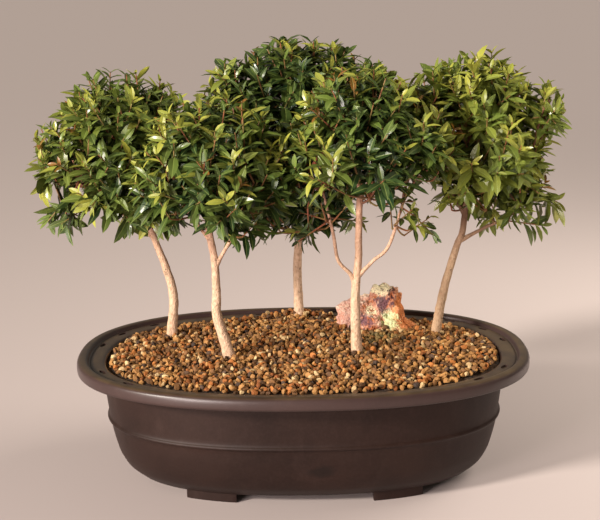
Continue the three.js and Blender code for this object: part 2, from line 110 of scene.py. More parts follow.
class Shading:
    """Adds nodes to a material's or a group's tree and links them."""

    def __init__(self, tree: bpy.types.NodeTree) -> None:
        """Keeps the tree that the nodes go into."""
        self.tree = tree

    def connect(self, socket: Socket, source: Any) -> None:
        """Links a socket to an input, or sets the input to a value."""
        if isinstance(source, Socket):
            self.tree.links.new(source, socket)
        else:
            socket.default_value = source

    def add(self, kind: str, sources: dict[Any, Any] | None = None, **settings: Any) -> bpy.types.Node:
        """Adds one node.

        Args:
            kind: The node's type name.
            sources: What each input gets, by name or number: a socket to link, or a value.
            **settings: The node's own properties.

        Returns:
            The new node.
        """
        node = self.tree.nodes.new(kind)
        for name, value in settings.items():
            setattr(node, name, value)
        for key, source in (sources or {}).items():
            self.connect(node.inputs[key], source)
        return node

    def put(self, kind: str, sources: dict[Any, Any] | None = None, out: Any = 0, **settings: Any) -> Socket:
        """Adds a shader node, named without its "ShaderNode", and returns the output asked for."""
        return self.add("ShaderNode" + kind, sources, **settings).outputs[out]

    def mix(self, share: Any, first: Any, second: Any) -> Socket:
        """Mixes two colours."""
        return self.put("Mix", {0: share, 6: first, 7: second}, 2, data_type="RGBA")

    def math(self, how: str, first: Any, second: Any = 0.0) -> Socket:
        """Joins two numbers."""
        return self.put("Math", {0: first, 1: second}, operation=how)

    def times(self, first: Any, second: Any) -> Socket:
        """Multiplies two numbers."""
        return self.math("MULTIPLY", first, second)

    def rest(self, share: Any) -> Socket:
        """What is left of one."""
        return self.math("SUBTRACT", 1.0, share)

    def vector_math(self, how: str, first: Any, second: Any) -> Socket:
        """Joins two vectors."""
        return self.put("VectorMath", {0: first, 1: second}, operation=how)

    def spread(self, value: Any, low: Any, high: Any) -> Socket:
        """Stretches low to high over 0 to 1, cut off at both ends."""
        return self.put("MapRange", {0: value, 1: low, 2: high})

    def ramp(self, value: Any, stops: list[tuple[float, Colour]]) -> Socket:
        """Turns a number into a colour by stops along a ramp."""
        node = self.add("ShaderNodeValToRGB", {0: value})
        points = node.color_ramp.elements
        while len(points) < len(stops):
            points.new(1.0)
        for point, (place, shade) in zip(points, stops):
            point.position = place
            point.color = shade
        return node.outputs["Color"]

    def place(self) -> Socket:
        """Where the surface is, in the object's own metres."""
        return self.put("TexCoord", out="Object")

    def part(self, vector: Socket, axis: str) -> Socket:
        """One coordinate of a vector."""
        return self.put("SeparateXYZ", {0: vector}, axis)

    def attribute(self, name: str) -> Socket:
        """A number that the mesh holds."""
        return self.put("Attribute", out="Fac", attribute_name=name)


class Effects:
    """Shared effects, each a node group with one output, built once."""

    def __init__(self) -> None:
        """Builds the groups."""
        self.mottle = self.group(
            "Mottle", "Mask", self.blotches, Stretch=EVEN, Scale=100.0, Low=0.35, High=0.65
        )
        self.patch = self.group(
            "Patch", "Mask", self.ragged_spot,
            Centre=(0.0, 0.0, 0.0), Stretch=EVEN, Radius=0.01, Blur=0.004, Ragged=0.01, Scale=120.0,
        )
        self.grit = self.group("Grit", "Height", self.pits_and_lumps, Scale=800.0, Pits=0.4)

    @staticmethod
    def group(name: str, output: str, draw: Callable[[Shading, Any], Socket], **inputs: Any) -> Any:
        """Makes a group.

        Args:
            name: The group's name.
            output: Its output's name.
            draw: What adds its nodes, given its inputs, and returns what it puts out.
            **inputs: Each input's usual value: a number, or three for a vector.

        Returns:
            The group.
        """
        tree = bpy.data.node_groups.new(name, "ShaderNodeTree")
        for socket, usual in inputs.items():
            kind = "NodeSocketVector" if isinstance(usual, tuple) else "NodeSocketFloat"
            tree.interface.new_socket(socket, in_out="INPUT", socket_type=kind).default_value = usual
        tree.interface.new_socket(output, in_out="OUTPUT", socket_type="NodeSocketFloat")
        bench = Shading(tree)
        given = bench.add("NodeGroupInput").outputs
        bench.add("NodeGroupOutput", {output: draw(bench, given)})
        return tree

    @staticmethod
    def blotches(bench: Shading, given: Any) -> Socket:
        """Soft uneven blotches, stretched along an axis where asked."""
        pulled = bench.vector_math("MULTIPLY", bench.place(), given["Stretch"])
        sources = {"Vector": pulled, "Scale": given["Scale"], "Detail": 5.0, "Roughness": 0.6}
        return bench.spread(bench.put("TexNoise", sources), given["Low"], given["High"])

    @staticmethod
    def ragged_spot(bench: Shading, given: Any) -> Socket:
        """A ragged round patch about a place."""
        place = bench.place()
        offset = bench.vector_math("SUBTRACT", place, given["Centre"])
        pulled = bench.vector_math("MULTIPLY", offset, given["Stretch"])
        away = bench.put("VectorMath", {0: pulled}, "Value", operation="LENGTH")
        cloud = bench.put("TexNoise", {"Vector": place, "Scale": given["Scale"], "Detail": 4.0})
        swing = bench.times(bench.math("SUBTRACT", cloud, 0.5), given["Ragged"])
        edge = bench.math("ADD", bench.math("SUBTRACT", away, given["Radius"]), swing)
        share = bench.math("SUBTRACT", 0.5, bench.math("DIVIDE", edge, given["Blur"]))
        return bench.spread(share, 0.0, 1.0)

    @staticmethod
    def pits_and_lumps(bench: Shading, given: Any) -> Socket:
        """Fine pits and lumps, as a height."""
        sources = {"Vector": bench.place(), "Scale": given["Scale"]}
        pits = bench.times(bench.put("TexVoronoi", sources, "Distance"), given["Pits"])
        return bench.math("ADD", bench.put("TexNoise", {**sources, "Detail": 6.0}), pits)


class Coating(Shading):
    """A material's own nodes, with the shared effects at hand."""

    def __init__(self, material: Material, effects: Effects) -> None:
        """Keeps the effects and finds the material's shader."""
        super().__init__(material.node_tree)
        self.effects = effects
        self.shader = material.node_tree.nodes["Principled BSDF"]

    def feed(self, sources: dict[str, Any]) -> None:
        """Feeds the shader's inputs, by name."""
        for name, source in sources.items():
            self.connect(self.shader.inputs[name], source)

    def lay(self, body: Socket, shade: Colour, mask: Any, share: float) -> Socket:
        """Lays a colour over the body where a mask is, at a share of its strength."""
        return self.mix(self.times(mask, share), body, shade)

    def mottle(self, scale: float, low: float, high: float, stretch: Triple = EVEN) -> Socket:
        """A mask of soft blotches."""
        sources = {"Scale": scale, "Low": low, "High": high, "Stretch": stretch}
        return self.put("Group", sources, node_tree=self.effects.mottle)

    def patch(self, centre: Triple, radius: float, blur: float, ragged: float, **shape: Any) -> Socket:
        """A mask of one ragged patch, in metres."""
        sources = {"Centre": centre, "Radius": radius, "Blur": blur, "Ragged": ragged, **shape}
        return self.put("Group", sources, node_tree=self.effects.patch)

    def rough(self, value: Any, low: float, high: float) -> None:
        """Lets the roughness run from low to high with a 0 to 1 value."""
        self.feed({"Roughness": self.put("MapRange", {0: value, 3: low, 4: high})})

    def emboss(self, height: Any, depth: float, strength: float = 1.0) -> None:
        """Feeds a height, in shares of a depth in metres, to the shader's normal."""
        sources = {"Height": height, "Distance": depth, "Strength": strength}
        self.feed({"Normal": self.put("Bump", sources, "Normal")})

    def grain(self, scale: float, pits: float, depth: float) -> None:
        """Embosses fine pits and lumps."""
        self.emboss(self.put("Group", {"Scale": scale, "Pits": pits}, node_tree=self.effects.grit), depth)


class Finish:
    """Base of every finish: a named material with its shader in place."""

    name: str

    def build(self, effects: Effects) -> Material:
        """Makes the material, with the shared effects at hand."""
        material = bpy.data.materials.new(self.name)
        material.use_nodes = True
        self.paint(Coating(material, effects))
        return material

    def paint(self, bench: Coating) -> None:
        """Adds the finish's nodes; each finish has its own."""
        raise NotImplementedError


@dataclass(frozen=True)
class PotFinish(Finish):
    """Moulded dark brown plastic with a dusty rim and a painted pinkish sheen round the rim's skirt."""

    name: str = "moulded plastic"
    deep: Colour = colour(0.0102, 0.0041, 0.0028)
    light: Colour = colour(0.0215, 0.0093, 0.0064)
    dust: Colour = colour(0.085, 0.052, 0.044)
    film: Colour = colour(0.15, 0.1, 0.038)
    painted_sheen: Colour = colour(0.13, 0.078, 0.074)
    stain: Colour = colour(0.005, 0.0028, 0.0022)
    stain_place: Triple = (0.0135, -0.112, 0.034)
    rim_from: tuple[float, float] = (0.091, 0.096)
    upright: Triple = (1.0, 1.0, 0.45)

    def paint(self, bench: Coating) -> None:
        """Blends two browns, dusts what faces up and adds a fine moulded grain."""
        blotches = bench.mottle(14.0, 0.3, 0.7)
        body = bench.mix(blotches, self.deep, self.light)
        body = bench.lay(body, self.dust, bench.mottle(420.0, 0.42, 0.75), 0.08)
        body = bench.lay(body, self.dust, bench.mottle(60.0, 0.55, 0.8, self.upright), 0.16)
        spot = bench.patch(self.stain_place, 0.007, 0.005, 0.012, Stretch=(0.7, 0.5, 1.5))
        body = bench.lay(body, self.stain, spot, 0.6)
        facing = bench.part(bench.put("NewGeometry", out="Normal"), "Z")
        upward = bench.times(bench.spread(facing, 0.6, 1.0), 0.5)
        clouds = bench.math("ADD", bench.mottle(55.0, 0.3, 0.8), 0.25)
        body = bench.mix(bench.times(upward, clouds), body, self.film)
        on_rim = bench.spread(bench.part(bench.place(), "Z"), *self.rim_from)
        below_rim = bench.rest(on_rim)
        skirt = bench.rest(bench.math("MAXIMUM", below_rim, upward))
        bench.feed({
            # The rim's skirt is painted paler and pinker all round: a painted sheen.
            "Base Color": bench.lay(body, self.painted_sheen, skirt, 0.2),
            "Specular IOR Level": 0.24,
            "Coat Weight": bench.times(on_rim, 0.5),
            "Coat Roughness": 0.34,
        })
        bench.rough(bench.math("ADD", bench.times(blotches, 0.35), bench.times(below_rim, 0.65)), 0.36, 0.56)
        bench.grain(1500.0, 0.3, 0.00006)


@dataclass(frozen=True)
class EarthFinish(Finish):
    """Potting mix: dark, crumbly and rough."""

    name: str = "earth"
    deep: Colour = colour(0.012, 0.0075, 0.005)
    light: Colour = colour(0.075, 0.042, 0.024)

    def paint(self, bench: Coating) -> None:
        """Blends two earths by crumbs and gives them a deep relief."""
        crumbs = bench.mottle(260.0, 0.35, 0.7)
        bench.feed({"Base Color": bench.mix(crumbs, self.deep, self.light)})
        bench.rough(crumbs, 0.85, 0.98)
        bench.grain(400.0, 1.2, 0.0012)


@dataclass(frozen=True)
class GrainFinish(Finish):
    """One kind of gravel grain. A grain's own shade comes from its tint."""

    name: str
    deep: Colour
    light: Colour
    algae: Colour = colour(0.16, 0.17, 0.05)
    algae_place: Triple = (0.068, 0.03, 0.102)

    def paint(self, bench: Coating) -> None:
        """Shades each grain by its tint, speckles it and greens the damp place by the stone."""
        specks = bench.mottle(900.0, 0.35, 0.7)
        share = bench.math("ADD", bench.times(bench.attribute("tint"), 0.75), bench.times(specks, 0.3))
        body = bench.mix(share, self.deep, self.light)
        damp = bench.patch(self.algae_place, 0.014, 0.02, 0.03)
        bench.feed({"Base Color": bench.lay(body, self.algae, damp, 0.45)})
        bench.rough(specks, 0.62, 0.9)
        bench.grain(1300.0, 0.7, 0.00035)


@dataclass(frozen=True)
class StoneFinish(Finish):
    """Pink and rust stone with two pale crusts, with painted light making its crests cream and painted shade
    making its sunken crags and hollows wine-dark.
    """

    name: str = "crusted stone"
    wine: Colour = colour(0.075, 0.018, 0.02)
    plum: Colour = colour(0.13, 0.055, 0.075)
    rust: Colour = colour(0.5, 0.135, 0.03)
    pink: Colour = colour(0.6, 0.28, 0.18)
    shell: Colour = colour(0.78, 0.55, 0.4)
    cream: Colour = colour(0.95, 0.84, 0.52)
    mint: Colour = colour(0.5, 0.62, 0.3)
    mauve: Colour = colour(0.52, 0.34, 0.29)
    amber: Colour = colour(0.74, 0.25, 0.075)
    flat: Triple = (1.0, 0.4, 1.0)
    upright: Triple = (1.0, 1.0, 0.45)

    def patches(self) -> tuple:
        """The rusty flank, the crusts, and painted shade as dark patches in and by the hollows: colour,
        place, radius, blur and strength.
        """
        return (
            (self.amber, (0.097, 0.062, 0.118), 0.02, 0.007, 0.88),
            (self.mauve, (0.04, 0.066, 0.116), 0.015, 0.01, 0.5),
            (self.shell, (0.036, 0.066, 0.121), 0.0045, 0.004, 0.7),
            (self.plum, (0.045, 0.066, 0.111), 0.0035, 0.003, 0.7),
            (self.rust, (0.083, 0.062, 0.1415), 0.004, 0.003, 0.8),
            (self.cream, (0.0695, 0.061, 0.1405), 0.0105, 0.003, 0.95),
            (self.mint, (0.0775, 0.06, 0.141), 0.0028, 0.003, 0.5),
            (self.cream, (0.0606, 0.054, 0.1202), 0.0056, 0.003, 0.85),
            (self.cream, (0.0765, 0.052, 0.1165), 0.0068, 0.003, 0.92),
            (self.mint, (0.0775, 0.052, 0.1115), 0.0082, 0.004, 0.72),
            # Painted shade: the plum and wine patches in and by the hollows.
            (self.plum, (0.0722, 0.056, 0.1255), 0.0078, 0.003, 0.92),
            (self.wine, (0.0785, 0.058, 0.135), 0.0042, 0.002, 0.95),
            (self.wine, (0.055, 0.064, 0.1335), 0.0045, 0.002, 0.9),
            (self.plum, (0.0562, 0.056, 0.1115), 0.0055, 0.003, 0.85),
        )

    def paint(self, bench: Coating) -> None:
        """Colours the stone by its relief, as painted shade where it sinks and painted light where it stands
        out, then lays the patches, dark specks and upright streaks.
        """
        clouds = bench.mottle(130.0, 0.3, 0.7)
        specks = bench.mottle(420.0, 0.35, 0.65)
        # The relief term paints shade into sunken crags and hollows and light onto crests.
        level = bench.math("ADD", bench.times(bench.attribute("relief"), 0.6), bench.times(clouds, 0.32))
        level = bench.math("ADD", level, bench.times(specks, 0.16))
        body = bench.ramp(level, [
            (0.1, self.wine), (0.22, self.plum), (0.33, self.rust), (0.52, self.pink), (0.72, self.shell),
            (0.92, self.cream),
        ])
        for shade, centre, radius, blur, strength in self.patches():
            mask = bench.patch(centre, radius, blur, 0.022, Stretch=self.flat, Scale=300.0)
            body = bench.lay(body, shade, mask, strength)
        body = bench.lay(body, self.wine, bench.mottle(700.0, 0.52, 0.68), 0.5)
        body = bench.lay(body, self.wine, bench.mottle(230.0, 0.6, 0.67, self.upright), 0.6)
        bench.feed({"Base Color": body})
        bench.rough(clouds, 0.7, 0.92)
        bench.grain(520.0, 0.9, 0.0012)


@dataclass(frozen=True)
class BarkFinish(Finish):
    """Pale smooth bark, pinker towards the crown and red-brown on young wood, with darker scars."""

    name: str = "pale bark"
    cream: Colour = colour(0.73, 0.505, 0.34)
    tan: Colour = colour(0.5, 0.31, 0.185)
    pink: Colour = colour(0.5, 0.25, 0.16)
    scar: Colour = colour(0.12, 0.055, 0.03)
    young: Colour = colour(0.27, 0.11, 0.06)
    pink_from: float = 0.155
    pink_to: float = 0.235

    def paint(self, bench: Coating) -> None:
        """Streaks the bark along its length and scars it here and there."""
        streaks = bench.mottle(560.0, 0.42, 0.72, (1.0, 1.0, 0.55))
        blotches = bench.mottle(90.0, 0.42, 0.66, (1.0, 1.0, 0.5))
        scars = bench.mottle(230.0, 0.64, 0.71, (1.0, 1.0, 1.6))
        high = bench.spread(bench.part(bench.place(), "Z"), self.pink_from, self.pink_to)
        body = bench.mix(streaks, self.cream, self.tan)
        body = bench.lay(body, self.pink, high, 0.8)
        body = bench.lay(body, self.tan, blotches, 0.4)
        body = bench.lay(body, self.scar, scars, 0.75)
        bench.feed({"Base Color": bench.lay(body, self.young, bench.attribute("young"), 0.85)})
        bench.rough(streaks, 0.6, 0.85)
        bench.emboss(bench.math("SUBTRACT", streaks, scars), 0.0007, 0.8)


@dataclass(frozen=True)
class TwigFinish(Finish):
    """Young reddish twigs, greener in places."""

    name: str = "young twig"
    red: Colour = colour(0.3, 0.1, 0.05)
    green: Colour = colour(0.25, 0.2, 0.065)

    def paint(self, bench: Coating) -> None:
        """Blends red and green along the twigs."""
        blotches = bench.mottle(60.0, 0.4, 0.65)
        bench.feed({"Base Color": bench.mix(blotches, self.red, self.green)})
        bench.rough(blotches, 0.45, 0.6)
        bench.grain(1500.0, 0.2, 0.0002)


@dataclass(frozen=True)
class LeafFinish(Finish):
    """Waxy leaves: dark green, fresh yellow-green or bronze, with a paler rib and fine side veins."""

    name: str = "waxy leaf"
    mature_deep: Colour = colour(0.01, 0.031, 0.011)
    mature_light: Colour = colour(0.125, 0.18, 0.03)
    fresh: Colour = colour(0.35, 0.35, 0.05)
    bronze: Colour = colour(0.23, 0.095, 0.018)
    rib: Colour = colour(0.26, 0.32, 0.08)
    gloss: tuple[float, float] = (0.3, 0.46)
    coat: float = 0.4
    pale: float = 0.0
    veins: float = 85.0
    vein_slant: float = 0.35

    def paint(self, bench: Coating) -> None:
        """Shades each leaf by its tint and age, then draws its rib and veins from its own map."""
        flush = bench.attribute("flush")
        green = bench.mix(bench.attribute("tint"), self.mature_deep, self.mature_light)
        mature, fresh, bronze = (kind.value for kind in Flush)
        young = bench.ramp(flush, [(mature, self.fresh), (fresh, self.fresh), (bronze, self.bronze)])
        body = bench.mix(bench.spread(flush, mature, fresh), green, young)
        leaf_map = bench.put("UVMap", uv_map="leaf")
        from_rib = bench.math("ABSOLUTE", bench.math("SUBTRACT", bench.part(leaf_map, "X"), 0.5))
        rib = bench.rest(bench.spread(from_rib, 0.02, 0.07))
        blotches = bench.mottle(140.0, 0.35, 0.7)
        body = bench.lay(body, self.rib, rib, 0.45)
        body = bench.lay(body, self.mature_light, blotches, 0.22)
        bench.feed({
            "Base Color": bench.mix(self.pale, body, self.rib),
            "Coat Weight": self.coat,
            "Coat Roughness": 0.21,
            "Specular IOR Level": 0.32,
        })
        bench.rough(blotches, *self.gloss)
        slant = bench.math("SUBTRACT", bench.part(leaf_map, "Y"), bench.times(from_rib, self.vein_slant))
        wave = bench.math("SINE", bench.times(slant, self.veins))
        bench.emboss(bench.math("SUBTRACT", bench.times(wave, 0.3), rib), 0.00012, 0.7)


@dataclass(frozen=True)
class FloorFinish(Finish):
    """A plain pale floor."""

    name: str = "pale floor"
    shade: Colour = colour(0.57, 0.49, 0.47)

    def paint(self, bench: Coating) -> None:
        """Sets one matt colour."""
        bench.feed({"Base Color": self.shade, "Roughness": 0.75})


def arc(t: Points, start: Points, middle: Points, end: Points) -> Points:
    """Points at shares t of arcs that run from start to end and are pulled towards a middle."""
    return (1 - t) ** 2 * start + 2 * t * (1 - t) * middle + t**2 * end


class Workbench:
    """Modelling by hand: skins extruded ring by ring, and copies of one model."""

    @staticmethod
    def clear() -> None:
        """Leaves nothing selected."""
        bpy.ops.object.select_all(action="DESELECT")

    @staticmethod
    def on_all(operator: Callable[[], Any]) -> None:
        """Runs an edit mode operator on all of the active mesh."""
        bpy.ops.object.mode_set(mode="EDIT")
        bpy.ops.mesh.select_all(action="SELECT")
        operator()
        bpy.ops.object.mode_set(mode="OBJECT")

    @classmethod
    def loft(cls, name: str, rings: Points) -> Piece:
        """Extrudes a filled circle ring by ring into one closed skin.

        Args:
            name: The new object's name.
            rings: Points in millimetres, indexed by ring, place on the ring, and axis.

        Returns:
            The object, with its faces pointing out.
        """
        cls.clear()
        bpy.ops.mesh.primitive_circle_add(vertices=rings.shape[1], fill_type="NGON", enter_editmode=True)
        piece = bpy.context.object
        edit = bmesh.from_edit_mesh(piece.data)
        place = edit.verts.layers.int.new("place")
        for number, vert in enumerate(edit.verts):
            vert[place] = number
            vert.co = rings[0][number] * MM
        for ring in rings[1:]:
            bpy.ops.mesh.extrude_region_move()
            edit = bmesh.from_edit_mesh(piece.data)
            place = edit.verts.layers.int["place"]
            for vert in edit.verts:
                if vert.select:
                    vert.co = ring[vert[place]] * MM
        bmesh.update_edit_mesh(piece.data)
        cls.on_all(bpy.ops.mesh.normals_make_consistent)
        piece.data.attributes.remove(piece.data.attributes["place"])
        piece.name = name
        return piece

    @classmethod
    def model(cls, piece: Piece) -> tuple[Points, Points]:
        """Takes a model's points in millimetres and its faces, as triangles, and removes the model."""
        cls.on_all(bpy.ops.mesh.quads_convert_to_tris)
        points = np.array([vert.co for vert in piece.data.vertices]) / MM
        faces = np.array([list(face.vertices) for face in piece.data.polygons])
        bpy.data.objects.remove(piece)
        return points, faces

    @staticmethod
    def copies(name: str, points: Points, faces: Points) -> Piece:
        """Joins copies of one model in one mesh.

        Args:
            name: The new object's name.
            points: Millimetres, indexed by copy, vertex and axis.
            faces: The model's faces, all with the same count of corners.

        Returns:
            The object.
        """
        starts = np.arange(len(points))[:, None, None] * points.shape[1]
        corners = (faces[None] + starts).reshape(-1, faces.shape[1])
        mesh = bpy.data.meshes.new(name)
        mesh.from_pydata((points.reshape(-1, 3) * MM).tolist(), [], corners.tolist())
        piece = bpy.data.objects.new(name, mesh)
        bpy.context.scene.collection.objects.link(piece)
        return piece

    @classmethod
    def rods(cls, name: str, sides: int, rings: int, arcs: Points, radii: Points) -> Piece:
        """Models thin round rods as copies of one, each bent along its arc.

        Args:
            name: The new object's name.
            sides: How many sides a rod has.
            rings: How many rings it is made of.
            arcs: The rods' starts, the middles that pull them, and their ends.
            radii: The rods' radii at their starts and at their ends.

        Returns:
            The object.
        """
        angle = 2 * np.pi * np.arange(sides) / sides
        ring = np.stack([np.cos(angle), np.zeros(sides), np.sin(angle)], 1)
        straight = np.array([ring + [0, y, 0] for y in np.linspace(0, 1, rings)])
        model, faces = cls.model(cls.loft("rod", straight))
        across, t, over = (model[:, axis][None, :, None] for axis in range(3))
        start, middle, end = arcs[:, :, None]
        thick, thin = radii[:, :, None, None]
        tangent = unit(2 * (1 - t) * (middle - start) + 2 * t * (end - middle) + 1e-9)
        helper = np.where(np.abs(tangent[..., 2:]) > 0.9, [1.0, 0.0, 0.0], UP)
        side = unit(np.cross(tangent, helper))
        other = np.cross(side, tangent)
        radius = thick * (1 - t) + thin * t
        return cls.copies(name, arc(t, start, middle, end) + radius * (across * side + over * other), faces)

    @staticmethod
    def mark(piece: Piece, name: str, values: Points) -> None:
        """Keeps one number for each vertex, or for each copy on all its vertices."""
        kept = piece.data.attributes.new(name, "FLOAT", "POINT")
        each = len(piece.data.vertices) // len(values)
        kept.data.foreach_set("value", np.repeat(values, each).astype(np.float32))

    @classmethod
    def activate(cls, piece: Piece, *others: Piece) -> None:
        """Selects the piece and the others alone, and makes the piece the active one."""
        cls.clear()
        for chosen in (piece, *others):
            chosen.select_set(True)
        bpy.context.view_layer.objects.active = piece

    @classmethod
    def smooth(cls, piece: Piece, degrees: float) -> None:
        """Smooths the shading across edges flatter than an angle."""
        cls.activate(piece)
        bpy.ops.object.shade_smooth_by_angle(angle=math.radians(degrees))

    @classmethod
    def modify(cls, piece: Piece, kind: str, **settings: Any) -> None:
        """Applies a modifier with its own settings."""
        cls.activate(piece)
        modifier = piece.modifiers.new(kind, kind)
        for name, value in settings.items():
            setattr(modifier, name, value)
        bpy.ops.object.modifier_apply(modifier=modifier.name)

    @classmethod
    def combine(cls, piece: Piece, other: Piece, how: str) -> None:
        """Joins or cuts a piece with another by a Boolean, and removes the other."""
        cls.modify(piece, "BOOLEAN", operation=how, solver="MANIFOLD", object=other)
        bpy.data.objects.remove(other)

    @staticmethod
    def dress(piece: Piece, slot: Slot, finishes: list[Material], *nodes: str) -> None:
        """Gives a piece its finish and its place in the frame.

        Args:
            piece: The finished object.
            slot: The record's slot that its finish belongs to; not used.
            finishes: Its materials, in the order of its faces' material numbers.
            *nodes: The CAD nodes that it stands for.
        """
        piece.data.materials.clear()
        for finish in finishes:
            piece.data.materials.append(finish)
        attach(piece, "root")
        if nodes:
            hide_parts(*nodes)
        log.info("%s: %d faces", piece.name, len(piece.data.polygons))


def curve_points(points: tuple, count: int) -> Points:
    """Spaces a count of points evenly along a smooth line through some points."""
    given = np.array(points, float)
    padded = np.vstack([2 * given[0] - given[1], given, 2 * given[-1] - given[-2]])
    t = np.linspace(0, 1, 24, endpoint=False)[:, None]
    fine = []
    for i in range(len(given) - 1):
        a, b, c, d = padded[i : i + 4]
        squared, cubed = 2 * a - 5 * b + 4 * c - d, 3 * b - a - 3 * c + d
        fine.append(0.5 * (2 * b + (c - a) * t + squared * t**2 + cubed * t**3))
    line = np.vstack([*fine, given[-1]])
    run = np.concatenate([[0], np.cumsum(np.linalg.norm(np.diff(line, axis=0), axis=1))])
    wanted = np.linspace(0, run[-1], count)
    return np.stack([np.interp(wanted, run, line[:, axis]) for axis in range(3)], 1)


def spiral(count: int, draw: Draw) -> Points:
    """Directions spread evenly all round, each a little astray."""
    height = 1 - (2 * (np.arange(count) + 0.5)) / count
    turn = np.arange(count) * math.pi * (3 - math.sqrt(5))
    flat = np.sqrt(1 - height**2)
    ways = np.stack([flat * np.cos(turn), flat * np.sin(turn), height], 1)
    return unit(ways + draw.normal(0, 0.09, ways.shape))


@dataclass(frozen=True)
class Oval:
    """The pot's plan: a rounded oval and the lines at even distances inside it."""

    half_length: float = 190.0
    half_depth: float = 142.0
    power: float = 2.35

    def ring(self, inset: float, height: float, sides: int) -> Points:
        """Points round the oval.

        Args:
            inset: How far inside the rim's outer edge.
            height: The ring's height.
            sides: How many points.

        Returns:
            The points, one row each, anticlockwise from above.
        """
        angle = 2 * np.pi * np.arange(sides) / sides
        flat = np.stack([np.cos(angle), np.sin(angle)], 1)
        shares = np.sign(flat) * np.abs(flat) ** (2 / self.power)
        half = np.array([self.half_length, self.half_depth])
        outward = unit(np.sign(shares) * np.abs(shares) ** (self.power - 1) / half)
        return np.column_stack([shares * half - outward * inset, np.full(sides, height)])

    def share(self, x: Points, y: Points, inset: float) -> Points:
        """How far out places lie: 0 in the middle and 1 about on the line at an inset."""
        across = np.abs(x / (self.half_length - inset)) ** self.power
        return across + np.abs(y / (self.half_depth - inset)) ** self.power

    def front(self, x: float, inset: float) -> float:
        """How far the line at an inset lies from the long axis, at a place along it."""
        ring = self.ring(inset, 0.0, 720)[:361]
        return float(np.interp(-x, -ring[:, 0], ring[:, 1]))


OVAL = Oval()
WALL_TOP_INSET = 24.5


